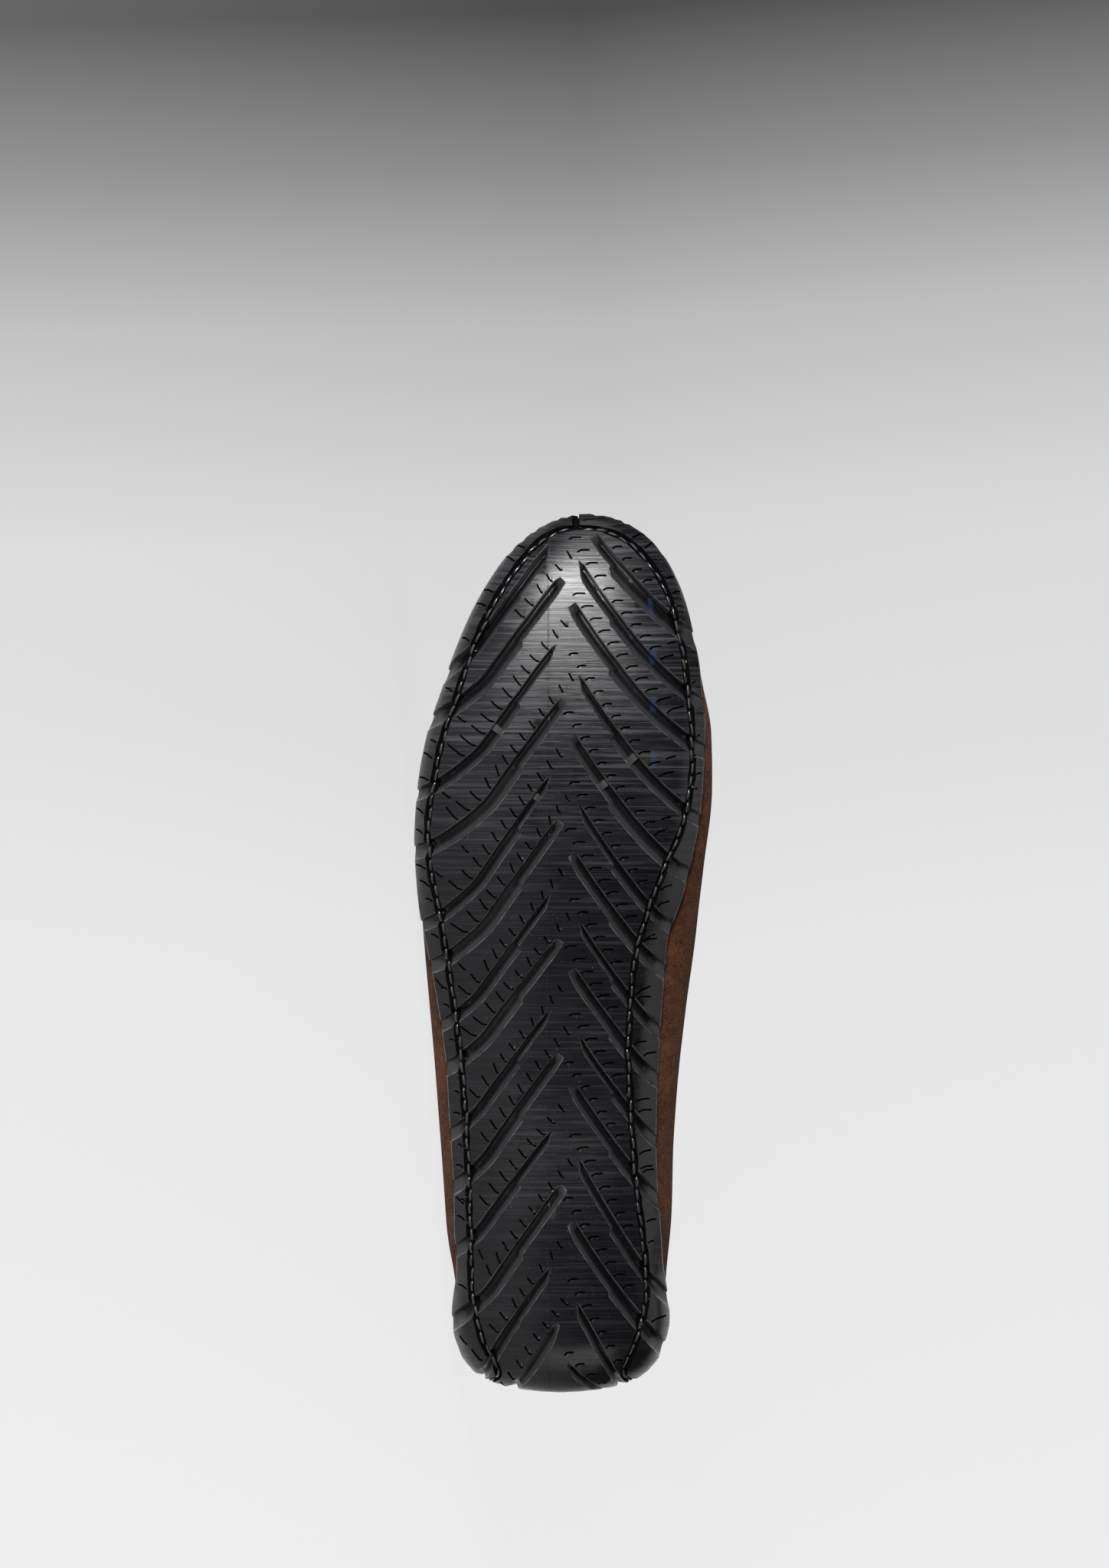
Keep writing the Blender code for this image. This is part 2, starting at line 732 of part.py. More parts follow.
def resting_turn(centre, cloud):
    """Rotation that lays the shoe down on the lateral facet of its hull under the centre of mass."""
    bm = bmesh.new()
    for point in cloud:
        bm.verts.new(point)
    bmesh.ops.convex_hull(bm, input=bm.verts)
    bmesh.ops.triangulate(bm, faces=bm.faces)
    bm.normal_update()
    facets = []
    for face in bm.faces:
        normal = face.normal.copy()
        if normal.dot(face.calc_center_median() - centre) < 0.0:
            normal.negate()
        foot = centre + normal * normal.dot(face.verts[0].co - centre)
        outside = (foot - geometry.closest_point_on_tri(foot, *(vertex.co for vertex in face.verts))).length
        if normal.y < LYING:
            facets.append((outside, tuple(normal)))
    bm.free()
    up = -Vector(min(facets)[1])
    toe = Vector((1.0, 0.0, 0.0))
    forward = (toe - up * toe.dot(up)).normalized()
    # Rows are the shoe's directions that become +X, +Y and +Z: heelwards, away from the tread, up
    back = -forward
    across = up.cross(back).normalized()
    return Matrix((back, across, up))


def lay_down(pieces):
    """Hang the pieces on an empty that lays them on the floor with the tread facing -Y."""
    graph = bpy.context.evaluated_depsgraph_get()
    centre, cloud = weigh(pieces, graph)
    turn = resting_turn(centre, cloud)
    laid = [turn @ point for point in cloud]
    low = Vector(min(point[axis] for point in laid) for axis in range(3))
    high = Vector(max(point[axis] for point in laid) for axis in range(3))
    shift = Vector((-0.5 * (low.x + high.x), -0.5 * (low.y + high.y), -low.z))
    stand = bpy.data.objects.new("resting_frame", None)
    bpy.context.collection.objects.link(stand)
    stand.matrix_world = Matrix.Translation(shift) @ turn.to_4x4()
    return stand


def main():
    """Build the four pieces and lay the shoe on its side."""
    clear_scene()
    upper = build_upper()
    outsole, cutter = build_outsole()
    apron = build_apron()
    insole = build_insole()
    pieces = [outsole, upper, apron, insole]
    stand = lay_down(pieces)
    for item in pieces + [cutter]:
        item.parent = stand


main()
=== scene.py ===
"""Looks of the driving moccasin: tyre-tread outsole, suede upper, apron, lining and insole.

Every piece is worked out in the upright shoe's own axes, toe towards +X, medial side towards +Y
and up along +Z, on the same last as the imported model, and is then laid down with it.
"""
import math

import bmesh
import bpy
import numpy as np
from mathutils import Matrix, Vector, geometry, kdtree


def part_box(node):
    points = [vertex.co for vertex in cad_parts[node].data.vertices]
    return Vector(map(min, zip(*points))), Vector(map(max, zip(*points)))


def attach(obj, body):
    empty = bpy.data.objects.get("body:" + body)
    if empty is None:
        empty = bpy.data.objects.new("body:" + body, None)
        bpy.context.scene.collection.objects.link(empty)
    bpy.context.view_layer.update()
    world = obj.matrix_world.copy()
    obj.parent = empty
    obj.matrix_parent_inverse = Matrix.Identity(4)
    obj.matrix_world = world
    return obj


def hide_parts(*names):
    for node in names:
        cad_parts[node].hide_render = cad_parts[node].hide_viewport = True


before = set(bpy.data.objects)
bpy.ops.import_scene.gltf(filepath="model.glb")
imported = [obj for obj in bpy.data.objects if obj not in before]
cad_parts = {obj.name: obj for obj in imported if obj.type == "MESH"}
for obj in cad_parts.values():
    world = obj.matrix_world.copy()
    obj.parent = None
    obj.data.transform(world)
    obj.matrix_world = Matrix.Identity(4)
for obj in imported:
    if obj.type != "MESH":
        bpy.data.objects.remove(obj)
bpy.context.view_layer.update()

# Last, in metres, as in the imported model
LENGTH = 0.2815
BALL_WIDTH = 0.094
HEEL_WIDTH = 0.069
INSTEP_HEIGHT = 0.072
TOE_HEIGHT = 0.033
SIDE_HEIGHT = 0.049
HEEL_HEIGHT = 0.060
TOE_SWING = 0.0085
TOE_SPRING = 0.010
ARCH_RISE = 0.004
HEEL_ROUND = 0.026
TOE_ROUND = 0.055
HEEL_CURVE_LENGTH = 0.016
HEEL_CURVE_HEIGHT = 0.009
TOE_CURVE_LENGTH = 0.024
TOE_CURVE_RISE = 0.006
TOE_CURVE_DROP = 0.007
BACK_LEAN = 0.006
BACK_LEAN_REACH = 0.070
HEEL_SHARE = 0.082
ARCH_START = 0.144
ARCH_FULL = 0.368
ARCH_EASE = 0.409
ARCH_END = 0.653
BALL_SHARE = 0.694
LEAN_START = 0.30
LEAN_FULL = 0.62
LEAN_POWER = 1.6
THROAT = 0.560 * LENGTH
COLLAR_WIDTH = 0.826 * HEEL_WIDTH
COLLAR_FRONT = 0.220 * LENGTH
COLLAR_RISE_START = 0.335 * LENGTH
WALL = 0.0018
GAP = 0.0003
APRON_WALL = 0.0016
INSOLE_THICKNESS = 0.003
INSOLE_MARGIN = 0.0105
INSOLE_GAP = 0.0005
INSOLE_START = 1.10 * HEEL_CURVE_LENGTH
INSOLE_END = LENGTH - 1.05 * TOE_CURVE_LENGTH
INSOLE_ROUNDING = 0.35
SOLE_THICKNESS = 0.0048
RIM_THICKNESS = 0.0024
TAB_THICKNESS = 0.0032
RIM_START = 0.62
HEEL_THINNING = 0.70 * HEEL_ROUND
TOE_THINNING = 0.50 * TOE_ROUND
APRON_WIDTH = 0.65 * BALL_WIDTH
APRON_FRONT = 0.918 * LENGTH
APRON_ROUND = 0.170 * LENGTH
APRON_HORN = 0.354 * LENGTH
COLLAR_BAND = 0.93
BOTTOM_POWER = 2.6
TOP_POWER = 2.25
PLAN_POWER = 2.2
HEEL_POWER = 2.9
WIDEST = 0.5
STEP = 0.004
SLACK = 1e-6

# How the upright shoe is laid down: long axis and tread plane against the floor
LYING_PITCH = math.radians(4.4913)
LYING_ROLL = math.radians(5.0787)

WIDTH_TABLE = (
    ("along", "lateral", "medial"),
    (0.00, 0.500, 0.500),
    (0.10, 0.500, 0.500),
    (0.185, 0.536, 0.515),
    (0.285, 0.530, 0.497),
    (0.39, 0.518, 0.491),
    (0.49, 0.511, 0.491),
    (0.59, 0.501, 0.508),
    (0.695, 0.474, 0.530),
    (0.755, 0.448, 0.519),
    (0.815, 0.403, 0.473),
    (0.88, 0.370, 0.421),
    (0.94, 0.353, 0.399),
    (1.00, 0.346, 0.391),
)
HEIGHT_TABLE = (
    ("along", "widest", "heel", "vamp"),
    (0.00, 0.29, 1.00, 1.00),
    (0.05, 0.29, 0.86, 1.00),
    (0.12, 0.30, 0.50, 1.00),
    (0.20, 0.31, 0.20, 1.00),
    (0.30, 0.33, 0.03, 1.00),
    (0.44, 0.31, 0.00, 1.00),
    (0.56, 0.25, 0.00, 1.00),
    (0.645, 0.21, 0.00, 0.84),
    (0.745, 0.19, 0.00, 0.58),
    (0.845, 0.19, 0.00, 0.32),
    (0.93, 0.21, 0.00, 0.14),
    (1.00, 0.25, 0.00, 0.00),
)
RIM_TABLE = (
    ("along", "lateral", "medial"),
    (0.000, 0.640, 0.640),
    (0.010, 0.610, 0.610),
    (0.026, 0.480, 0.480),
    (0.044, 0.410, 0.410),
    (0.064, 0.420, 0.420),
    (0.093, 0.400, 0.400),
    (0.145, 0.330, 0.330),
    (0.235, 0.310, 0.280),
    (0.360, 0.310, 0.260),
    (0.440, 0.330, 0.255),
    (0.510, 0.370, 0.255),
    (0.570, 0.430, 0.300),
    (0.635, 0.460, 0.330),
    (0.715, 0.470, 0.350),
    (0.795, 0.470, 0.375),
    (0.880, 0.480, 0.440),
    (0.950, 0.500, 0.500),
    (1.000, 0.540, 0.540),
)


def read_curve(table, name):
    """A named column of a table as a function of the share of the length, smooth through its rows."""
    place = table[0].index(name)
    rows = np.array([row[0] for row in table[1:]], float)
    values = np.array([row[place] for row in table[1:]], float)
    rise = np.diff(values) / np.diff(rows)
    slopes = np.empty(len(rows))
    slopes[0], slopes[-1] = rise[0], rise[-1]
    for index in range(1, len(rows) - 1):
        product = rise[index - 1] * rise[index]
        slopes[index] = 0.0 if product <= 0.0 else 2.0 * product / (rise[index - 1] + rise[index])

    def curve(along):
        along = np.clip(along, rows[0], rows[-1])
        index = np.clip(np.searchsorted(rows, along) - 1, 0, len(rows) - 2)
        span = rows[index + 1] - rows[index]
        share = (along - rows[index]) / span
        return (
            values[index] * (1.0 + 2.0 * share) * (1.0 - share) ** 2
            + values[index + 1] * share * share * (3.0 - 2.0 * share)
            + slopes[index] * span * share * (1.0 - share) ** 2
            - slopes[index + 1] * span * share * share * (1.0 - share)
        )

    return curve


lateral_width = read_curve(WIDTH_TABLE, "lateral")
medial_width = read_curve(WIDTH_TABLE, "medial")
widest_share = read_curve(HEIGHT_TABLE, "widest")
heel_share = read_curve(HEIGHT_TABLE, "heel")
vamp_share = read_curve(HEIGHT_TABLE, "vamp")
lateral_rim = read_curve(RIM_TABLE, "lateral")
medial_rim = read_curve(RIM_TABLE, "medial")


def smooth(value):
    """Ease from 0 to 1 with level ends."""
    value = np.clip(value, 0.0, 1.0)
    return value * value * (3.0 - 2.0 * value)


def end_rounding(x):
    """Share of the full width left where the plan rounds off at the heel and at the toe."""
    heel = np.clip((HEEL_ROUND - x) / HEEL_ROUND, 0.0, 1.0)
    toe = np.clip((x - LENGTH + TOE_ROUND) / TOE_ROUND, 0.0, 1.0)
    rear = (1.0 - heel ** HEEL_POWER) ** (1.0 / HEEL_POWER)
    return rear * (1.0 - toe ** PLAN_POWER) ** (1.0 / PLAN_POWER)


def past_ball(x):
    """How far towards the toe a place is, from 0 at the ball to 1 at the tip."""
    return np.maximum((x / LENGTH - BALL_SHARE) / (1.0 - BALL_SHARE), 0.0)


def spine(x):
    """Sideways place of the keel line."""
    return TOE_SWING * past_ball(x) ** 1.5


def half_width(x, side):
    """Distance from the keel line to the widest line of the skin."""
    along = x / LENGTH
    growth = smooth((along - HEEL_SHARE) / (BALL_SHARE - HEEL_SHARE))
    local = HEEL_WIDTH + (BALL_WIDTH - HEEL_WIDTH) * growth
    share = np.where(side < 0.0, lateral_width(along), medial_width(along))
    return local * share * end_rounding(x)


def curve_up(distance, length):
    """Share of the rise of a quarter round that starts at a distance from the end."""
    reach = np.clip(1.0 - distance / length, 0.0, 1.0)
    return 1.0 - np.sqrt(np.maximum(1.0 - reach * reach, 0.0))


def keel_height(x):
    """Height of the skin's bottom line."""
    along = x / LENGTH
    rising = smooth((along - ARCH_START) / (ARCH_FULL - ARCH_START))
    falling = smooth((ARCH_END - along) / (ARCH_END - ARCH_EASE))
    heel = HEEL_CURVE_HEIGHT * curve_up(x, HEEL_CURVE_LENGTH)
    toe = TOE_CURVE_RISE * curve_up(LENGTH - x, TOE_CURVE_LENGTH)
    return ARCH_RISE * rising * falling + TOE_SPRING * past_ball(x) ** 2 + heel + toe


def widest_height(x):
    """Height of the skin's widest line."""
    return INSTEP_HEIGHT * widest_share(x / LENGTH) + 0.5 * TOE_SPRING * past_ball(x) ** 2


def top_height(x):
    """Height of the collar edge behind the throat, and of the vamp's crown ahead of it."""
    along = x / LENGTH
    rise = smooth((x - COLLAR_RISE_START) / (THROAT - COLLAR_RISE_START))
    collar = SIDE_HEIGHT + (HEEL_HEIGHT - SIDE_HEIGHT) * heel_share(along)
    collar = collar + (INSTEP_HEIGHT - SIDE_HEIGHT) * rise
    crown = TOE_HEIGHT + (INSTEP_HEIGHT - TOE_HEIGHT) * vamp_share(along)
    crown = crown - TOE_CURVE_DROP * curve_up(LENGTH - x, TOE_CURVE_LENGTH)
    return np.where(x < THROAT, collar, crown)


def collar_half(x):
    """Half the width of the collar opening, zero ahead of the throat."""
    reach = np.clip((x - THROAT + COLLAR_FRONT) / COLLAR_FRONT, 0.0, 1.0)
    return np.where(x < THROAT, 0.5 * COLLAR_WIDTH * end_rounding(x) * np.sqrt(1.0 - reach * reach), 0.0)


def bend_angle(share, power):
    """Angle at which an arc of this power has gone out to a share of its width."""
    return np.arcsin(np.clip(share, 0.0, 1.0) ** (0.5 * power))


def skin(x, girth):
    """Points of the skin at a distance from the heel, girth from -1 lateral edge to +1 medial edge."""
    x, girth = np.broadcast_arrays(np.asarray(x, float), np.asarray(girth, float))
    side = np.where(girth < 0.0, -1.0, 1.0)
    reach = np.abs(girth)
    width = half_width(x, side)
    widest = widest_height(x)
    low = np.minimum(reach, WIDEST) * math.pi
    out_low = width * np.sin(low) ** (2.0 / BOTTOM_POWER)
    z_low = widest - (widest - keel_height(x)) * np.maximum(np.cos(low), 0.0) ** (2.0 / BOTTOM_POWER)
    open_share = collar_half(x) / np.maximum(width, SLACK)
    open_share = np.where(width > SLACK, open_share, COLLAR_WIDTH / HEEL_WIDTH)
    last = 0.5 * math.pi - bend_angle(open_share, TOP_POWER)
    high = np.maximum(reach - WIDEST, 0.0) / (1.0 - WIDEST) * last
    out_high = width * np.maximum(np.cos(high), 0.0) ** (2.0 / TOP_POWER)
    full = (top_height(x) - widest) / np.sin(last) ** (2.0 / TOP_POWER)
    z_high = widest + full * np.sin(high) ** (2.0 / TOP_POWER)
    under = reach <= WIDEST
    z = np.where(under, z_low, z_high)
    above = np.maximum((z - LEAN_START * INSTEP_HEIGHT) / HEEL_HEIGHT, 0.0)
    near = np.maximum(1.0 - x / BACK_LEAN_REACH, 0.0)
    lean = BACK_LEAN * (above / LEAN_FULL) ** LEAN_POWER * near * near
    return np.stack((x + lean, spine(x) + side * np.where(under, out_low, out_high), z), axis=-1)


def station(turn):
    """Distance from the heel for an even parameter, closer together at heel and toe."""
    return LENGTH * 0.5 * (1.0 - np.cos(math.pi * turn))


def turn_of(x):
    """Even parameter of a distance from the heel."""
    return np.arccos(1.0 - 2.0 * np.clip(x / LENGTH, 0.0, 1.0)) / math.pi


def wrapped_skin(turn, girth):
    """Skin points where a parameter may run past the heel, toe or crown line to the other side."""
    turned = (turn < 0.0) | (turn > 1.0)
    turn = np.where(turn < 0.0, -turn, np.where(turn > 1.0, 2.0 - turn, turn))
    girth = np.where(turned, -girth, girth)
    girth = np.where(np.abs(girth) > 1.0, np.copysign(2.0 - np.abs(girth), -girth), girth)
    return skin(station(turn), girth)


def skin_normal(x, girth):
    """Outward normals of the skin."""
    x, girth = np.broadcast_arrays(np.asarray(x, float), np.asarray(girth, float))
    turn = turn_of(x)
    at_keel = np.abs(girth) < SLACK
    turn = np.where(at_keel, np.clip(turn, 0.5 * STEP, 1.0 - 0.5 * STEP), turn)
    along = wrapped_skin(turn + STEP, girth) - wrapped_skin(turn - STEP, girth)
    edge = np.where(x < THROAT - SLACK, 1.0, 1.0 + STEP)
    low = np.maximum(girth - STEP, -edge)
    high = np.minimum(girth + STEP, edge)
    normal = np.cross(along, wrapped_skin(turn, high) - wrapped_skin(turn, low))
    normal /= np.maximum(np.linalg.norm(normal, axis=-1, keepdims=True), 1e-12)
    middle = np.clip(x, 0.5 * HEEL_ROUND, LENGTH - 0.5 * TOE_ROUND)
    inside = np.stack((middle, spine(x), widest_height(x)), axis=-1)
    facing = np.sum(normal * (skin(x, girth) - inside), axis=-1, keepdims=True)
    return np.where(facing > 0.0, normal, -normal)


def lifted_skin(x, girth, lift):
    """Skin points moved out along their normals, or in where the lift is negative."""
    x, girth, lift = np.broadcast_arrays(np.asarray(x, float), np.asarray(girth, float), lift)
    return skin(x, girth) + lift[..., None] * skin_normal(x, girth)


def rim_girth(x, side):
    """Girth at which the outsole's rim ends."""
    return np.where(side < 0.0, lateral_rim(x / LENGTH), medial_rim(x / LENGTH))


def sole_thickness(x, share):
    """Rubber thickness, full under the foot and thinner at the rim, the heel tab and the toe."""
    to_rim = smooth((np.abs(share) - RIM_START) / (1.0 - RIM_START))
    at_end = smooth(1.0 - x / HEEL_THINNING) + smooth(1.0 - (LENGTH - x) / TOE_THINNING)
    middle = SOLE_THICKNESS + (TAB_THICKNESS - SOLE_THICKNESS) * np.minimum(at_end, 1.0)
    return middle + (RIM_THICKNESS - middle) * to_rim


def sole_face(x, girth, depth):
    """Points on the outsole's outer face, sunk by a depth."""
    x, girth = np.broadcast_arrays(np.asarray(x, float), np.asarray(girth, float))
    share = girth / rim_girth(x, girth)
    return lifted_skin(x, girth, GAP + np.maximum(sole_thickness(x, share) - depth, 0.0002))


def lying_matrix():
    """Placement of the upright shoe on the floor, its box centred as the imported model's."""
    up = Vector((
        math.sin(LYING_PITCH),
        math.cos(LYING_PITCH) * math.cos(LYING_ROLL),
        -math.cos(LYING_PITCH) * math.sin(LYING_ROLL),
    ))
    toe = Vector((1.0, 0.0, 0.0))
    forward = (toe - up * toe.dot(up)).normalized()
    back = -forward
    turn = Matrix((back, up.cross(back).normalized(), up))
    xs = np.linspace(0.0, LENGTH, 121)
    girths = np.linspace(-1.0, 1.0, 121)
    cloud = skin(xs[:, None], girths[None, :]).reshape(-1, 3) @ np.array(turn).T
    low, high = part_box("upper")
    middle = 0.5 * (cloud.min(axis=0) + cloud.max(axis=0))
    shift = Vector([0.5 * (low[axis] + high[axis]) - middle[axis] for axis in range(3)])
    return Matrix.Translation(shift) @ turn.to_4x4()


LYING = lying_matrix()


# The outsole's flat pattern: U runs along the shoe and V across it, as the photograph shows them.
# Near the heel and toe lines U is stretched, and up the steep rims V follows the surface.
END_STRETCH = 0.008
STEEP_SHARE = 0.5
PATTERN_ROWS = 260
LAST_ROW = PATTERN_ROWS - 1.001
PATTERN_GIRTHS = 301
PATTERN_REACH = 0.72
PIXELS_PER_METRE = 4000.0
HEEL_PIXEL_Y = 1808.0
KEEL_PIXEL_X = 732.0

# Rounds in which a pixel's place on the pattern is found, and how far each round goes
PHOTO_ROUNDS = 12
PHOTO_PULL = 0.8


def x_of(u):
    """Distance from the heel of a place on the flat pattern."""
    u = np.asarray(u, float)
    rear = np.clip(u + END_STRETCH, 0.0, 2.0 * END_STRETCH) ** 2 / (4.0 * END_STRETCH)
    front = np.clip(LENGTH + END_STRETCH - u, 0.0, 2.0 * END_STRETCH) ** 2 / (4.0 * END_STRETCH)
    return np.where(u < END_STRETCH, rear, np.where(u > LENGTH - END_STRETCH, LENGTH - front, u))


def measure_pattern():
    """V of every girth at every row of the pattern."""
    us = np.linspace(-END_STRETCH, LENGTH + END_STRETCH, PATTERN_ROWS)
    girths = np.linspace(-PATTERN_REACH, PATTERN_REACH, PATTERN_GIRTHS)
    points = sole_face(x_of(us)[:, None], girths[None, :], 0.0)
    across = np.diff(points[..., 1], axis=1)
    surface = np.linalg.norm(np.diff(points, axis=1), axis=-1)
    steps = np.maximum(across, STEEP_SHARE * surface)
    widths = np.concatenate((np.zeros((PATTERN_ROWS, 1)), np.cumsum(steps, axis=1)), axis=1)
    middle = PATTERN_GIRTHS // 2
    widths += points[:, middle, 1][:, None] - widths[:, middle][:, None]
    return us, girths, widths


PATTERN_US, PATTERN_GS, PATTERN_VS = measure_pattern()


def pattern_row(u):
    """Row of the pattern before each place, and the share of the way to the next row."""
    along = np.clip((u - PATTERN_US[0]) / (PATTERN_US[1] - PATTERN_US[0]), 0.0, LAST_ROW)
    row = along.astype(int)
    return row, along - row


def girth_of(u, v):
    """Girths of places on the flat pattern."""
    row, share = pattern_row(np.asarray(u))
    near = np.array([np.interp(b, PATTERN_VS[a], PATTERN_GS) for a, b in zip(row, v)])
    far = np.array([np.interp(b, PATTERN_VS[a + 1], PATTERN_GS) for a, b in zip(row, v)])
    return near + (far - near) * share


def v_of(u, girth):
    """V of girths at places along the flat pattern."""
    u = np.atleast_1d(np.asarray(u, float))
    girth = np.broadcast_to(girth, u.shape)
    row, share = pattern_row(u)
    near = np.array([np.interp(b, PATTERN_GS, PATTERN_VS[a]) for a, b in zip(row, girth)])
    far = np.array([np.interp(b, PATTERN_GS, PATTERN_VS[a + 1]) for a, b in zip(row, girth)])
    return near + (far - near) * share


def on_sole(places, depth=0.0):
    """Points in space of places on the flat pattern, sunk by a depth."""
    places = np.asarray(places, float)
    girth = girth_of(places[:, 0], places[:, 1])
    return sole_face(x_of(places[:, 0]), girth, np.broadcast_to(depth, girth.shape))


def from_photo(pixels):
    """Places on the flat pattern that the photograph shows at these pixels."""
    pixels = np.asarray(pixels, float)
    target = np.stack((HEEL_PIXEL_Y - pixels[:, 1], pixels[:, 0] - KEEL_PIXEL_X), axis=-1)
    target = target / PIXELS_PER_METRE
    places = target.copy()
    for _ in range(PHOTO_ROUNDS):
        shown = on_sole(places)[:, :2]
        places += PHOTO_PULL * (target - shown)
        places[:, 0] = np.clip(places[:, 0], -END_STRETCH, LENGTH + END_STRETCH)
    return places


def rim_v(u, side):
    """V of the rubber's edge."""
    u = np.atleast_1d(np.asarray(u, float))
    return v_of(u, side * rim_girth(x_of(u), np.full(u.shape, side)))


# Tread grooves: how far the steep edge falls towards the heel on its way out, in mm
LATERAL = -1.0
MEDIAL = 1.0
MEDIAL_RUN = (
    ("out", "fall"),
    (0.0, 0.0), (6.75, 10.0), (13.75, 19.5), (23.75, 31.5), (31.25, 38.5), (40.0, 45.0), (50.0, 50.5),
)
LATERAL_RUN = (
    ("out", "fall"),
    (0.0, 0.0), (5.0, 6.0), (10.0, 12.75), (15.0, 19.25), (20.0, 26.0), (25.0, 32.75),
    (31.25, 38.25), (37.5, 42.75), (43.75, 46.0), (52.0, 48.5),
)

# Inner ends by the pixel they are seen at, widths and reach in mm, and how steep they run
MEDIAL_GROOVES = (
    ("pixel_x", "pixel_y", "inner", "outer", "steepness", "square", "reach"),
    (779, 695, 3.4, 5.4, 0.80, 0.9, 60.0),
    (757, 730, 3.3, 4.2, 0.98, 0.2, 60.0),
    (751, 787, 3.7, 4.8, 0.98, 0.8, 60.0),
    (757, 882, 2.5, 4.2, 1.00, 0.2, 60.0),
    (751, 959, 3.7, 4.9, 1.00, 0.8, 60.0),
    (757, 1050, 2.3, 3.8, 1.02, 0.2, 60.0),
    (751, 1112, 3.6, 4.6, 1.00, 0.8, 60.0),
    (757, 1203, 2.3, 3.8, 1.02, 0.2, 60.0),
    (751, 1264, 3.6, 4.6, 1.00, 0.8, 60.0),
    (757, 1352, 2.3, 3.8, 1.00, 0.2, 60.0),
    (751, 1415, 3.6, 4.6, 1.02, 0.8, 60.0),
    (756, 1511, 2.6, 4.0, 1.18, 0.2, 60.0),
    (750, 1593, 3.7, 4.6, 1.03, 0.8, 60.0),
    (754, 1699, 2.8, 3.4, 1.16, 0.2, 27.0),
    (742, 1778, 3.0, 3.0, 0.62, 0.5, 12.5),
)
LATERAL_GROOVES = (
    ("pixel_x", "pixel_y", "inner", "outer", "steepness", "square", "reach"),
    (716, 708, 3.2, 4.0, 0.98, 0.3, 60.0),
    (730, 752, 3.6, 4.7, 0.98, 0.8, 60.0),
    (725, 841, 2.4, 4.0, 1.00, 0.2, 60.0),
    (732, 912, 3.7, 4.8, 1.00, 0.8, 60.0),
    (718, 1012, 2.4, 4.0, 1.04, 0.2, 60.0),
    (727, 1069, 3.6, 4.7, 1.02, 0.8, 60.0),
    (718, 1167, 2.4, 4.0, 1.00, 0.2, 60.0),
    (727, 1224, 3.6, 4.7, 0.98, 0.8, 60.0),
    (718, 1318, 2.4, 4.0, 1.00, 0.2, 60.0),
    (727, 1374, 3.6, 4.7, 1.04, 0.8, 60.0),
    (721, 1474, 2.6, 4.0, 0.97, 0.2, 60.0),
    (731, 1545, 3.8, 4.8, 1.03, 0.8, 60.0),
    (718, 1652, 3.0, 3.6, 1.06, 0.2, 32.0),
    (726, 1725, 3.6, 4.2, 1.06, 0.5, 26.0),
)
JOG_PIXEL_X = {LATERAL: 670.0, MEDIAL: 807.0}
JOG_LENGTH = 0.0012
GROOVE_DEPTH = 0.0027
GROOVE_FLOOR = 0.0009
STEEP_RUN = 0.00040
FLOOR_SHARE = 0.20
MIDDLE_SHARE = 0.58
SCOOP_POWER = 1.7
EDGE_RUN = 0.00022
EDGE_DROP = 0.00012
RIM_DEPTH_SHARE = 0.28
RIM_DEPTH_RUN = 0.0040
GROOVE_STEP = 0.0022
BEVEL_RUN = 0.0030
BAR_SHARE = 0.55
BAR_LENGTH = 0.0022

# Small raised bars across a groove, by the pixel of their middle
BAR_PIXELS = ((654, 956), (826, 991), (788, 1025), (703, 1043))

# Stitch channel, by the pixels that it is seen at from toe to heel
LATERAL_CHANNEL = (
    ("pixel_x", "pixel_y"),
    (752, 687), (730, 691), (703, 707), (671, 745), (646, 784),
    (620, 838), (598, 902), (579, 959), (565, 1026),
    (558, 1077), (560, 1128), (571, 1182), (582, 1246), (592, 1313), (601, 1384), (606, 1444),
    (609, 1495), (612, 1560), (614, 1636), (617, 1700), (630, 1752), (650, 1800),
)
MEDIAL_CHANNEL = (
    ("pixel_x", "pixel_y"),
    (752, 687), (775, 688), (799, 694), (840, 723), (869, 768),
    (888, 828), (898, 895), (904, 956), (903, 1020), (893, 1074),
    (872, 1125), (847, 1189), (831, 1246), (823, 1320), (821, 1384), (824, 1447), (828, 1511),
    (833, 1560), (840, 1620), (845, 1684), (840, 1722), (828, 1760), (815, 1800),
)
CHANNEL_HALF = 0.00115
CHANNEL_FLAT = 0.00075
CHANNEL_DEPTH = 0.0013
CHANNEL_STEP = 0.0014
CHANNEL_RAGGED = 0.09
TAB_MARGIN = 0.0052
TOE_GAP_PIXEL = (752, 685)

# Sipes: short cuts beside each groove
SIPE_PITCH = 0.0049
SIPE_HALF = 0.00031
SIPE_DEPTH = 0.0015
SECOND_SIPES_FROM = 0.017
SECOND_SIPE_GAP = 0.0017
SECOND_SIPE_LENGTH = 0.0036
CUT_SHAPE = (
    ("share", "bend"),
    (0.0, 0.0), (0.07, 0.35), (0.32, 1.0), (0.66, 0.6), (0.93, 0.1), (1.0, 0.0),
)

# Length and slope of the cuts by how far out they are, in mm; rise is towards the toe
MEDIAL_SIPES = (
    ("out", "length", "rise"),
    (0.0, 4.0, 0.9), (12.0, 3.9, 1.0), (22.0, 4.4, 1.3), (28.0, 6.2, 2.6), (40.0, 6.4, 3.0),
)
LATERAL_SIPES = (
    ("out", "length", "rise"),
    (0.0, 3.3, 2.3), (12.0, 4.0, 2.8), (22.0, 4.9, 3.3), (28.0, 6.6, 3.8), (40.0, 7.2, 3.9),
)
RIM_CHAMFER = 0.00045
EDGE_WEAR = 0.00022
END_CLEAR = 0.0004
FEATURE_MARGIN = 0.008
CUT_CLEAR = 0.0009

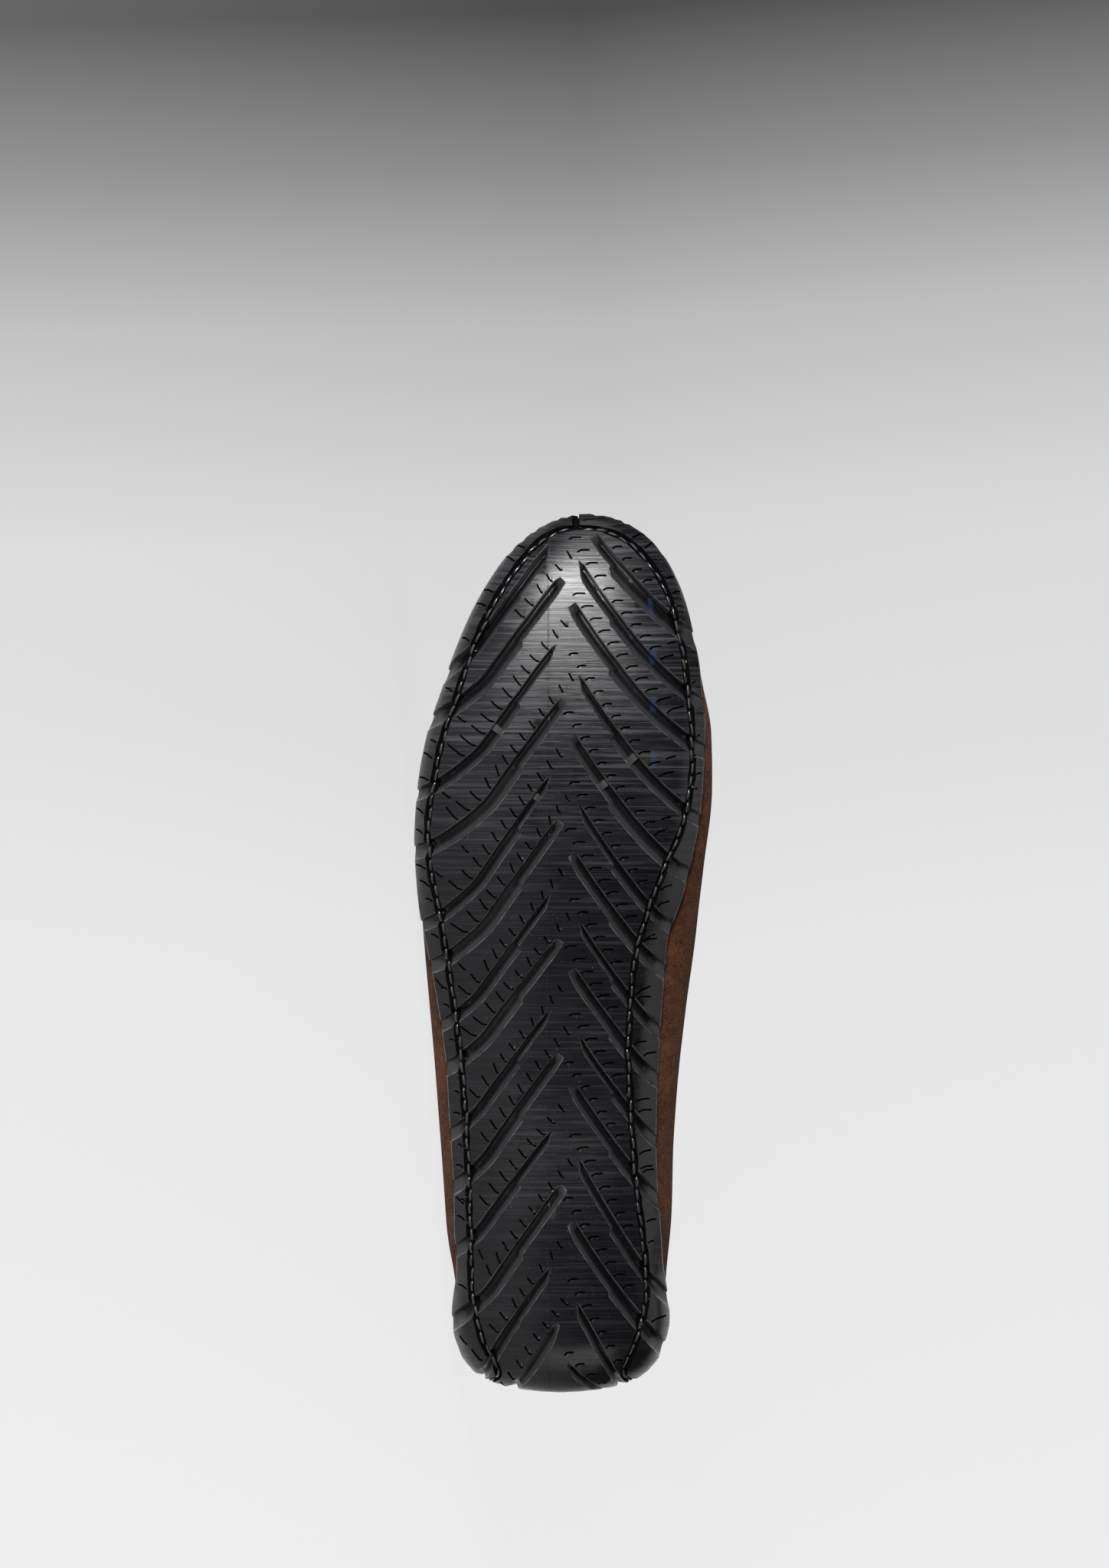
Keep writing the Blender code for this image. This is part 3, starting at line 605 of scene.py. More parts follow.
# Notch at the toe, where the two flanges meet
NOTCH_RUN = 0.0032
NOTCH_SHARE = 0.55
NOTCH_BY_SIDE = {LATERAL: 1.0, MEDIAL: 0.8}

# Points that fill the flat pattern
FILL_PITCH = 0.0021
FILL_CLEAR = 0.00085


def rows_of(table):
    """A table's rows as dictionaries by column name."""
    return [dict(zip(table[0], row)) for row in table[1:]]


def column_of(table, name):
    """A table's column as an array."""
    place = table[0].index(name)
    return np.array([row[place] for row in table[1:]], float)


def soft_line(points, spacing):
    """A smooth line through points, sampled at an even spacing."""
    points = np.asarray(points, float)
    lengths = np.concatenate(([0.0], np.cumsum(np.linalg.norm(np.diff(points, axis=0), axis=1))))
    slopes = np.gradient(points, lengths, axis=0)
    count = max(int(round(lengths[-1] / spacing)), 1)
    along = np.linspace(0.0, lengths[-1], count + 1)
    index = np.clip(np.searchsorted(lengths, along) - 1, 0, len(lengths) - 2)
    span = lengths[index + 1] - lengths[index]
    t = ((along - lengths[index]) / span)[:, None]
    span = span[:, None]
    return (
        points[index] * (1 + 2 * t) * (1 - t) ** 2
        + points[index + 1] * t * t * (3 - 2 * t)
        + slopes[index] * span * t * (1 - t) ** 2
        - slopes[index + 1] * span * t * t * (1 - t)
    )


def lengths_along(path):
    """Distance of each point of a path from its start."""
    return np.concatenate(([0.0], np.cumsum(np.linalg.norm(np.diff(path, axis=0), axis=1))))


def path_at(path, distances):
    """Points and left-hand normals of a path at distances from its start."""
    lengths = lengths_along(path)
    points = np.stack([np.interp(distances, lengths, path[:, axis]) for axis in (0, 1)], axis=-1)
    ahead = np.stack([np.interp(distances + 3e-4, lengths, path[:, axis]) for axis in (0, 1)], axis=-1)
    behind = np.stack([np.interp(distances - 3e-4, lengths, path[:, axis]) for axis in (0, 1)], axis=-1)
    run = ahead - behind
    run /= np.maximum(np.linalg.norm(run, axis=1, keepdims=True), 1e-12)
    return points, np.stack((-run[:, 1], run[:, 0]), axis=-1)


def measure_from(path, points):
    """Distance along and to the left of a path of the nearest place to each point."""
    start = path[:-1]
    run = np.diff(path, axis=0)
    size = np.linalg.norm(run, axis=1)
    unit = run / size[:, None]
    offset = points[:, None, :] - start[None, :, :]
    along = np.sum(offset * unit[None], axis=-1)
    held = np.clip(along, 0.0, size[None])
    gap = np.linalg.norm(offset - held[..., None] * unit[None], axis=-1)
    best = np.argmin(gap, axis=1)
    pick = np.arange(len(points))
    lengths = lengths_along(path)
    left = unit[best, 0] * offset[pick, best, 1] - unit[best, 1] * offset[pick, best, 0]
    t = held[pick, best] + lengths[best]
    first = (best == 0) & (along[pick, best] < 0.0)
    last = (best == len(size) - 1) & (along[pick, best] > size[-1])
    t = np.where(first | last, lengths[best] + along[pick, best], t)
    side = np.where(first | last, left, np.copysign(gap[pick, best], left))
    return t, side


def groove_course(row, side):
    """Path of a groove's steep edge on the flat pattern, and where its jog and bars are."""
    table = MEDIAL_RUN if side > 0 else LATERAL_RUN
    out = column_of(table, "out") / 1000.0
    fall = column_of(table, "fall") / 1000.0 * row["steepness"]
    start = from_photo([(row["pixel_x"], row["pixel_y"])])[0]
    course = np.stack((start[0] - fall, start[1] + side * out), axis=-1)
    course = soft_line(course, GROOVE_STEP)
    reach = side * (course[:, 1] - start[1])
    rim = side * rim_v(course[:, 0], side)
    inside = (reach <= row["reach"] / 1000.0) & (side * course[:, 1] < rim + 0.004)
    inside &= course[:, 0] > -END_STRETCH
    last = len(course) if inside.all() else int(np.argmin(inside)) + 1
    return course[:max(last, 3)]


class Groove:
    """One tread groove on the flat pattern: a steep wall, a floor and a sloped face."""

    def __init__(self, row, side):
        self.side = side
        self.path = groove_course(row, side)
        self.length = lengths_along(self.path)[-1]
        self.open = row["reach"] > 50.0
        jog_v = (JOG_PIXEL_X[side] - KEEL_PIXEL_X) / PIXELS_PER_METRE
        reach = side * self.path[:, 1]
        self.jog = float(np.interp(side * jog_v, reach, lengths_along(self.path)))
        self.inner = row["inner"] / 1000.0
        self.outer = row["outer"] / 1000.0
        self.square = row["square"]
        bars = from_photo(BAR_PIXELS)
        along, across = measure_from(self.path, bars)
        near = (along > 0.0) & (along < self.length) & (np.abs(across) < 0.0035)
        near &= side * across > -0.0006
        self.bars = list(along[near])

    def width(self, t):
        """Width of the groove at distances from its inner end."""
        rest = smooth((t - self.jog) / JOG_LENGTH)
        tip = self.square + (1.0 - self.square) * smooth(t / 0.006)
        close = 1.0 if self.open else smooth((self.length - t) / 0.005)
        return (self.inner * tip + (self.outer - self.inner) * rest) * (0.3 + 0.7 * close)

    def depth(self, t):
        """Depth of the groove at distances from its inner end."""
        depth = GROOVE_DEPTH * np.clip(t / BEVEL_RUN, 0.0, 1.0)
        if not self.open:
            depth = depth * np.clip((self.length - t) / (2.0 * BEVEL_RUN), 0.0, 1.0)
        for bar in self.bars:
            near = np.clip((0.5 * BAR_LENGTH + 0.0003 - np.abs(t - bar)) / 0.0003, 0.0, 1.0)
            depth = depth * (1.0 - BAR_SHARE * near)
        return depth

    def stops(self):
        """Distances along the groove that its lines need."""
        stops = list(np.arange(0.0, self.length, GROOVE_STEP)) + [self.length, BEVEL_RUN]
        stops += [self.jog, self.jog + 0.5 * JOG_LENGTH, self.jog + JOG_LENGTH]
        for bar in self.bars:
            stops += [bar - 0.5 * BAR_LENGTH - 0.0003, bar - 0.5 * BAR_LENGTH]
            stops += [bar + 0.5 * BAR_LENGTH, bar + 0.5 * BAR_LENGTH + 0.0003]
        stops = sorted(stop for stop in stops if 0.0 <= stop <= self.length)
        kept = [stops[0]]
        for stop in stops[1:]:
            if stop - kept[-1] > 0.00012:
                kept.append(stop)
        return np.array(kept)

    def lines(self):
        """Lines along and across the groove where its surface bends."""
        stops = self.stops()
        points, left = path_at(self.path, stops)
        steep = -self.side * left
        width = self.width(stops)[:, None]
        still = 0.0 * width
        marks = (
            still + EDGE_RUN, still, still - STEEP_RUN, -STEEP_RUN - FLOOR_SHARE * width,
            -MIDDLE_SHARE * width, -width, -width - EDGE_RUN,
        )
        made = [points + steep * mark for mark in marks]
        across = []
        crossing = [0.0, BEVEL_RUN]
        for bar in self.bars:
            crossing += [bar - 0.5 * BAR_LENGTH - 0.0003, bar - 0.5 * BAR_LENGTH]
            crossing += [bar + 0.5 * BAR_LENGTH, bar + 0.5 * BAR_LENGTH + 0.0003]
        for stop in crossing:
            index = int(np.argmin(np.abs(stops - stop)))
            across.append(np.array([line[index] for line in made]))
        return made + across

    def sink(self, points):
        """Depth of the surface at points on the flat pattern."""
        t, left = measure_from(self.path, points)
        steep = -self.side * left
        width = self.width(t)
        floor = STEEP_RUN + FLOOR_SHARE * width
        depth = self.depth(t)
        edge = np.minimum(EDGE_DROP, depth)
        wall = edge + (depth - edge) * np.clip(-steep / STEEP_RUN, 0.0, 1.0)
        lip = edge * np.clip((EDGE_RUN - steep) / EDGE_RUN, 0.0, 1.0)
        left_over = 1.0 - np.clip((steep + width) / np.maximum(width - floor, 1e-5), 0.0, 1.0)
        face = edge + (depth - edge) * (1.0 - left_over ** SCOOP_POWER)
        outer_lip = edge * np.clip((steep + width + EDGE_RUN) / EDGE_RUN, 0.0, 1.0)
        cut = np.where(steep > 0.0, lip, np.minimum(wall, np.where(steep > -width, face, outer_lip)))
        return np.where(t < -1e-6, 0.0, cut)


class Channel:
    """The narrow channel that the sole's stitches lie in."""

    def __init__(self, path):
        self.path = path
        self.length = lengths_along(path)[-1]

    def lines(self):
        """Lines along the channel's edges and floor."""
        stops = lengths_along(self.path)
        points, left = path_at(self.path, stops)
        ragged = self.ragged(stops)[:, None]
        marks = (-CHANNEL_HALF, -CHANNEL_FLAT, CHANNEL_FLAT, CHANNEL_HALF)
        return [points + left * mark * ragged for mark in marks]

    def ragged(self, t):
        """Share by which the channel is wider or narrower at distances along it."""
        return 1.0 + CHANNEL_RAGGED * (np.sin(t / 0.0017) + 0.7 * np.sin(t / 0.00093 + 1.3))

    def sink(self, points):
        """Depth of the surface at points on the flat pattern."""
        t, left = measure_from(self.path, points)
        left = np.abs(left) / self.ragged(t)
        cut = CHANNEL_DEPTH * np.clip((CHANNEL_HALF - left) / (CHANNEL_HALF - CHANNEL_FLAT), 0.0, 1.0)
        return np.where((t < -1e-6) | (t > self.length + 1e-6), 0.0, cut)


class Sipe:
    """A thin cut with closed ends."""

    def __init__(self, path):
        self.path = path
        self.length = lengths_along(path)[-1]

    def lines(self):
        """The cut's closed edge and its deepest line."""
        stops = lengths_along(self.path)
        points, left = path_at(self.path, stops)
        one = points[1:-1] + left[1:-1] * SIPE_HALF
        other = points[1:-1] - left[1:-1] * SIPE_HALF
        edge = np.concatenate((points[:1], one, points[-1:], other[::-1], points[:1]))
        return [edge, points]

    def sink(self, points):
        """Depth of the surface at points on the flat pattern."""
        t, left = measure_from(self.path, points)
        first = lengths_along(self.path)[1]
        last = self.length - lengths_along(self.path)[-2]
        ends = np.clip(np.minimum(t / first, (self.length - t) / last), 0.0, 1.0)
        half = np.maximum(SIPE_HALF * ends, 1e-7)
        return SIPE_DEPTH * ends * np.clip(1.0 - np.abs(left) / half, 0.0, 1.0)


def channel_paths():
    """Both stitch channels on the flat pattern, carried on up the heel tab to its middle line."""
    made = []
    for side, table in ((LATERAL, LATERAL_CHANNEL), (MEDIAL, MEDIAL_CHANNEL)):
        places = from_photo([row for row in table[1:]])
        keep = places[:, 0] > 0.004
        places = places[keep]
        heel_us = np.array([0.0, -END_STRETCH])
        heel_vs = side * (np.abs(rim_v(heel_us, side)) - STEEP_SHARE * TAB_MARGIN)
        places = np.concatenate((places, np.stack((heel_us, heel_vs), axis=-1)))
        made.append(soft_line(places, CHANNEL_STEP))
    return made


def toe_gap_path():
    """The gap between the two flanges' ends, from the channels up over the edge at the toe."""
    foot = from_photo([TOE_GAP_PIXEL])[0]
    reach = np.linspace(0.0, 1.0, 6)[:, None]
    end = np.array([LENGTH + END_STRETCH, foot[1]])
    return foot + reach * (end - foot)


def hooked_cut(foot, far, hook):
    """Path of a cut that bends a little near its foot."""
    shares = np.array([row[0] for row in CUT_SHAPE[1:]])[:, None]
    bends = np.array([row[1] for row in CUT_SHAPE[1:]])[:, None]
    return foot + shares * (far - foot) + bends * np.array([hook, 0.0])


def sipe_courses(grooves):
    """Paths of the cuts that stand along each groove's steep edge."""
    made = []
    for groove in grooves:
        table = MEDIAL_SIPES if groove.side > 0 else LATERAL_SIPES
        outs = column_of(table, "out") / 1000.0
        sizes = column_of(table, "length") / 1000.0
        rises = column_of(table, "rise") / 1000.0
        lengths = lengths_along(groove.path)
        for step in range(-2, int(groove.length / SIPE_PITCH)):
            t = (step + 0.55) * SIPE_PITCH
            if step < 0:
                run = groove.path[0] - groove.path[1]
                run /= np.linalg.norm(run)
                foot = groove.path[0] - run * t
                out = 0.0
            else:
                foot = np.array([np.interp(t, lengths, groove.path[:, axis]) for axis in (0, 1)])
                out = abs(foot[1] - groove.path[0, 1])
            jitter = math.sin(37.0 * t + 91.0 * groove.path[0, 0] * 1000.0)
            size = float(np.interp(out, outs, sizes)) * (1.0 + 0.14 * jitter)
            rise = float(np.interp(out, outs, rises)) * (1.0 + 0.20 * math.sin(5.0 * jitter + step))
            foot = foot + np.array([0.0003, groove.side * 0.0002])
            far = foot + np.array([rise, groove.side * math.sqrt(max(size * size - rise * rise, 1e-8))])
            hook = 0.0006 if groove.side > 0 else -0.0007
            made.append((groove, hooked_cut(foot, far, hook)))
            if out > SECOND_SIPES_FROM and step % 2:
                start = far + SECOND_SIPE_GAP * (far - foot) / size
                end = start + SECOND_SIPE_LENGTH * (far - foot) / size
                made.append((groove, hooked_cut(start, end, 0.5 * hook)))
    return made


def flange_courses(channels):
    """Paths of the cuts across the flange, outside the stitch channel."""
    made = []
    for side, channel in zip((LATERAL, MEDIAL), channels):
        length = lengths_along(channel)[-1]
        for step in range(2, int(length / 0.0058)):
            t = np.array([step * 0.0058 + 0.0006 * math.sin(2.3 * step)])
            foot = path_at(channel, t)[0][0]
            if not 0.006 < foot[0] < LENGTH - 0.004:
                continue
            foot = foot + np.array([0.0006, side * 0.0014])
            slant = 0.42 + 0.22 * math.sin(1.7 * step)
            edge = side * float(rim_v(foot[0], side)[0])
            span = max(edge - side * foot[1] - 0.0006, 0.0)
            if span < 0.0016:
                continue
            span *= 0.72 + 0.25 * math.sin(4.1 * step)
            far = foot + np.array([slant * span, side * span])
            middle = 0.5 * (foot + far) + np.array([0.0003, 0.0])
            near = foot + 0.10 * (far - foot)
            last = foot + 0.90 * (far - foot)
            made.append(np.array([foot, near, middle, last, far]))
    return made


def clear_of(paths, others, reach):
    """Keep the paths whose points all stay away from the other features."""
    kept = []
    for own, path in paths:
        free = True
        for other in others:
            if other is own:
                continue
            depth = other.sink(path)
            if depth.max() > 0.00002:
                free = False
                break
        if free and reach(path):
            kept.append(Sipe(path))
    return kept


def rim_line(side):
    """The rubber's edge on the flat pattern from heel to toe, notched where the flanges meet."""
    us = np.concatenate((
        np.linspace(-END_STRETCH, 0.05, 56)[:-1],
        np.linspace(0.05, 0.24, 110)[:-1],
        np.linspace(0.24, LENGTH + END_STRETCH, 60),
    ))
    vs = rim_v(us, side)
    toe = LENGTH + END_STRETCH - us
    notch = 1.0 - smooth(toe / NOTCH_RUN)
    middle = float(spine(LENGTH))
    kept = 1.0 - NOTCH_SHARE * notch * NOTCH_BY_SIDE[side]
    return np.stack((us, middle + (vs - middle) * kept), axis=-1)


def measure_rim(outline, points):
    """Distance inside the closed rim outline of points on the flat pattern."""
    best = np.full(len(points), 1.0)
    run = np.roll(outline, -1, axis=0) - outline
    size = np.sum(run * run, axis=1)
    for index in range(len(outline)):
        if size[index] < 1e-14:
            continue
        near = np.abs(points[:, 0] - outline[index, 0]) < 0.006
        offset = points[near] - outline[index]
        t = np.clip(offset @ run[index] / size[index], 0.0, 1.0)
        gap = np.linalg.norm(offset - t[:, None] * run[index], axis=1)
        best[near] = np.minimum(best[near], gap)
    return best


def inside_outline(outline, points):
    """True for points inside a closed outline."""
    inside = np.zeros(len(points), bool)
    ahead = np.roll(outline, -1, axis=0)
    for (u0, v0), (u1, v1) in zip(outline, ahead):
        crosses = (v0 > points[:, 1]) != (v1 > points[:, 1])
        if crosses.any():
            at = u0 + (points[crosses, 1] - v0) * (u1 - u0) / (v1 - v0)
            inside[crosses] ^= points[crosses, 0] < at
    return inside


def add_lines(lines, points, edges):
    """Append polylines to the points and edges of a flat pattern."""
    for line in lines:
        base = len(points)
        points.extend(map(tuple, line))
        edges.extend((base + index, base + index + 1) for index in range(len(line) - 1))


def fill_points(outline, crowded):
    """Even points over the pattern, clear of the outline and of the feature lines."""
    tree = kdtree.KDTree(len(crowded))
    for index, (u, v) in enumerate(crowded):
        tree.insert((u, v, 0.0), index)
    tree.balance()
    low = outline.min(axis=0)
    high = outline.max(axis=0)
    places = []
    row = 0
    u = low[0] + 0.5 * FILL_PITCH
    while u < high[0]:
        shift = 0.5 * FILL_PITCH if row % 2 else 0.0
        v = low[1] + shift
        while v < high[1]:
            places.append((u, v))
            v += FILL_PITCH
        u += 0.87 * FILL_PITCH
        row += 1
    places = np.array(places)
    places = places[inside_outline(outline, places)]
    return [
        (u, v) for u, v in places
        if tree.find((u, v, 0.0))[2] > FILL_CLEAR
    ]


def make_sole_pattern():
    """All the tread's features and the triangles of the flat pattern that carries them."""
    lateral_rim_line = rim_line(LATERAL)
    medial_rim_line = rim_line(MEDIAL)
    outline = np.concatenate((lateral_rim_line, medial_rim_line[::-1]))
    grooves = [Groove(row, LATERAL) for row in rows_of(LATERAL_GROOVES)]
    grooves += [Groove(row, MEDIAL) for row in rows_of(MEDIAL_GROOVES)]
    channels = [Channel(path) for path in channel_paths()]
    gap = Channel(toe_gap_path())

    def well_inside(path):
        if not inside_outline(outline, path).all():
            return False
        return float(measure_rim(outline, path).min()) > CUT_CLEAR

    long_features = grooves + channels + [gap]
    sipes = clear_of(sipe_courses(grooves), long_features, well_inside)
    flange = [(None, path) for path in flange_courses([channel.path for channel in channels])]
    sipes += clear_of(flange, long_features, well_inside)
    features = long_features + sipes
    points = []
    edges = []
    closed = np.concatenate((outline, outline[:1]))
    add_lines([closed], points, edges)
    for feature in features:
        add_lines(feature.lines(), points, edges)
    chamfers = []
    for side, line in ((LATERAL, lateral_rim_line), (MEDIAL, medial_rim_line)):
        inner = line[2:-2].copy()
        inner[:, 1] -= side * RIM_CHAMFER
        chamfers.append(inner)
    add_lines(chamfers, points, edges)
    points += fill_points(outline, points)
    scaled = [Vector((1000.0 * u, 1000.0 * v)) for u, v in points]
    found = geometry.delaunay_2d_cdt(scaled, edges, [], 0, 1e-4, False)
    flat = np.array([(point[0], point[1]) for point in found[0]]) / 1000.0
    faces = np.array([tuple(face) for face in found[2]])
    centres = flat[faces].mean(axis=1)
    keep = inside_outline(outline, centres)
    return flat, faces[keep], features, outline, channels


def sink_depths(flat, features, outline):
    """Depth of every point of the flat pattern below the plain outer face, and of narrow cuts alone."""
    depth = np.zeros(len(flat))
    narrow = np.zeros(len(flat))
    inside = measure_rim(outline, flat)
    over_rim = RIM_DEPTH_SHARE + (1.0 - RIM_DEPTH_SHARE) * smooth((inside - 0.0004) / RIM_DEPTH_RUN)
    for feature in features:
        low = feature.path.min(axis=0) - FEATURE_MARGIN
        high = feature.path.max(axis=0) + FEATURE_MARGIN
        near = np.all((flat >= low) & (flat <= high), axis=1)
        if near.any():
            sunk = feature.sink(flat[near])
            if isinstance(feature, Groove):
                sunk = sunk * over_rim[near]
            else:
                narrow[near] = np.maximum(narrow[near], sunk)
            depth[near] = np.maximum(depth[near], sunk)
    ends = (flat[:, 0] > -END_STRETCH + END_CLEAR) & (flat[:, 0] < LENGTH + END_STRETCH - END_CLEAR)
    worn = EDGE_WEAR * np.clip(1.0 - inside / RIM_CHAMFER, 0.0, 1.0)
    return np.where(ends, np.maximum(depth, worn), depth), narrow


def mesh_of(name, points, faces):
    """A mesh of points and faces."""
    mesh = bpy.data.meshes.new(name)
    places = [tuple(map(float, point)) for point in points]
    mesh.from_pydata(places, [], [tuple(map(int, face)) for face in faces])
    mesh.update()
    return mesh


def keep_places(mesh):
    """Keep the upright places of a mesh's points for its materials."""
    flat = np.empty(3 * len(mesh.vertices), np.float32)
    mesh.vertices.foreach_get("co", flat)
    places = mesh.attributes.new("upright", "FLOAT_VECTOR", "POINT")
    places.data.foreach_set("vector", flat)


# Height below which a piece is pressed up softly, so that nothing goes under the floor
FLOOR_PRESS = 0.0012


def link(mesh, replaced=()):
    """Lay a mesh down with the shoe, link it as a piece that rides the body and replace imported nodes."""
    keep_places(mesh)
    mesh.transform(LYING)
    for vertex in mesh.vertices:
        if vertex.co.z < FLOOR_PRESS:
            vertex.co.z = FLOOR_PRESS * math.exp(vertex.co.z / FLOOR_PRESS - 1.0)
    mesh.update()
    item = bpy.data.objects.new(mesh.name, mesh)
    bpy.context.collection.objects.link(item)
    bpy.context.view_layer.update()
    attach(item, "root")
    for node in replaced:
        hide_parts(node)
    return item


def tidy_mesh(mesh, sharp_from=None):
    """Weld a mesh's doubled points, turn its faces outward and shade it smooth."""
    bm = bmesh.new()
    bm.from_mesh(mesh)
    bmesh.ops.remove_doubles(bm, verts=bm.verts, dist=2e-6)
    bmesh.ops.dissolve_degenerate(bm, edges=bm.edges, dist=1e-7)
    bmesh.ops.recalc_face_normals(bm, faces=bm.faces)
    bm.to_mesh(mesh)
    bm.free()
    mesh.shade_smooth()
    if sharp_from:
        mesh.set_sharp_from_angle(angle=math.radians(sharp_from))


# Bends in degrees from which the rubber is shaded as a crisp edge
LIP_BEND = 11.0
FACE_BEND = 38.0

# A lip's edge lies above the first share of the edge's drop and touches faces below the second
LIP_TOP = 1.2
LIP_FOOT = 0.5

# Depth from which a narrow cut's faces take the near-black material, painted shade
CUT_FROM = 0.0004


def build_outsole(material, dark):
    """The rubber outsole with its grooves, channels, cuts and edge."""
    flat, faces, features, outline, channels = make_sole_pattern()
    depth, narrow = sink_depths(flat, features, outline)
    girth = girth_of(flat[:, 0], flat[:, 1])
    x = x_of(flat[:, 0])
    share = girth / rim_girth(x, girth)
    depth = np.minimum(depth, sole_thickness(x, share) - GROOVE_FLOOR)
    points = sole_face(x, girth, depth)
    base = skin(x, girth)
    mesh = mesh_of("outsole_tread", points, faces)
    bm = bmesh.new()
    bm.from_mesh(mesh)
    sunk = bm.verts.layers.float.new("sunk")
    feet = bm.verts.layers.float_vector.new("foot")
    pattern = bm.verts.layers.float_vector.new("pattern")
    bm.verts.ensure_lookup_table()
    for index, vertex in enumerate(bm.verts):
        vertex[sunk] = float(depth[index])
        vertex[feet] = Vector(base[index])
        vertex[pattern] = Vector((flat[index, 0], flat[index, 1], narrow[index]))
    bmesh.ops.remove_doubles(bm, verts=bm.verts, dist=2e-5)
    loose = [vertex for vertex in bm.verts if not vertex.link_faces]
    bmesh.ops.delete(bm, geom=loose, context="VERTS")
    rim = [edge for edge in bm.edges if edge.is_boundary]
    made = bmesh.ops.extrude_edge_only(bm, edges=rim)
    for item in made["geom"]:
        if isinstance(item, bmesh.types.BMVert):
            item.co = item[feet]
    bmesh.ops.recalc_face_normals(bm, faces=bm.faces)
    for face in bm.faces:
        face.smooth = True
    for edge in bm.edges:
        bend = math.degrees(edge.calc_face_angle(0.0))
        around = [vertex for face in edge.link_faces for vertex in face.verts]
        on_lip = max(edge.verts[0][sunk], edge.verts[1][sunk]) < LIP_TOP * EDGE_DROP
        on_lip = on_lip and any(vertex[sunk] > LIP_FOOT * EDGE_DROP for vertex in around)
        edge.smooth = bend < (LIP_BEND if on_lip else FACE_BEND)
    for face in bm.faces:
        face.material_index = int(max(vertex[pattern].z for vertex in face.verts) > CUT_FROM)
    bm.to_mesh(mesh)
    bm.free()
    mesh.materials.append(material)
    mesh.materials.append(dark)
    link(mesh, ["outsole"])
    return channels


# Stitches are short closed tubes
STITCH_RINGS = 9
STITCH_SIDES = 8


def build_stitches(name, centres, ups, radius, material, flatten=0.85):
    """Tubes with closed rounded ends along rows of points, one row a stitch."""
    along = np.gradient(centres, axis=1)
    along /= np.maximum(np.linalg.norm(along, axis=-1, keepdims=True), 1e-12)
    sides = np.cross(ups, along)
    sides /= np.maximum(np.linalg.norm(sides, axis=-1, keepdims=True), 1e-12)
    ups = np.cross(along, sides)
    count, rings, _ = centres.shape
    place = np.linspace(-1.0, 1.0, rings)
    round_off = np.maximum(1.0 - np.abs(place) ** 5, 0.02) ** 0.5
    angles = np.linspace(0.0, 2.0 * math.pi, STITCH_SIDES, endpoint=False)
    reach = radius * round_off[None, :, None, None]
    points = (
        centres[:, :, None, :]
        + reach * np.cos(angles)[None, None, :, None] * sides[:, :, None, :]
        + reach * flatten * np.sin(angles)[None, None, :, None] * ups[:, :, None, :]
    ).reshape(-1, 3)
    faces = []
    for stitch in range(count):
        base = stitch * rings * STITCH_SIDES
        for ring in range(rings - 1):
            for side in range(STITCH_SIDES):
                after = (side + 1) % STITCH_SIDES
                low = base + ring * STITCH_SIDES
                high = low + STITCH_SIDES
                faces.append((low + side, low + after, high + after, high + side))
        faces.append(tuple(base + side for side in reversed(range(STITCH_SIDES))))
        last = base + (rings - 1) * STITCH_SIDES
        faces.append(tuple(last + side for side in range(STITCH_SIDES)))
    mesh = mesh_of(name, points, faces)
    mesh.materials.append(material)
    mesh.shade_smooth()
    return link(mesh)


# Lock stitches of the sole
SOLE_STITCH_PITCH = 0.0042
SOLE_STITCH_LENGTH = 0.0041
SOLE_STITCH_RADIUS = 0.00050
SOLE_STITCH_BURIED = 0.0007
SOLE_STITCH_DIP = 0.0005


def build_sole_stitches(channels, material):
    """Waxed lock stitches lying in both channels, their ends dipping into the rubber."""
    places = []
    depths = []
    for channel in channels:
        for step in range(1, int(channel.length / SOLE_STITCH_PITCH)):
            middle = step * SOLE_STITCH_PITCH
            half = 0.5 * SOLE_STITCH_LENGTH
            stops = np.linspace(middle - half, middle + half, STITCH_RINGS)
            points, left = path_at(channel.path, np.clip(stops, 0.0, channel.length))
            share = np.linspace(-1.0, 1.0, STITCH_RINGS)
            sway = 0.00026 * math.sin(2.1 * step) + 0.00020 * math.sin(5.3 * step) * share
            points = points + left * sway[:, None]
            places.append(points)
            lie = SOLE_STITCH_BURIED + 0.0001 * math.sin(1.3 * step)
            depths.append(lie + SOLE_STITCH_DIP * np.abs(share) ** 3)
    places = np.array(places)
    depths = np.array(depths)
    flat = places.reshape(-1, 2)
    centres = on_sole(flat, depths.reshape(-1))
    lower = on_sole(flat, depths.reshape(-1) + 0.0006)
    ups = centres - lower
    ups /= np.maximum(np.linalg.norm(ups, axis=-1, keepdims=True), 1e-9)
    shape = places.shape[:2] + (3,)
    centres = centres.reshape(shape)
    ups = ups.reshape(shape)
    build_stitches("sole_stitches", centres, ups, SOLE_STITCH_RADIUS, material)
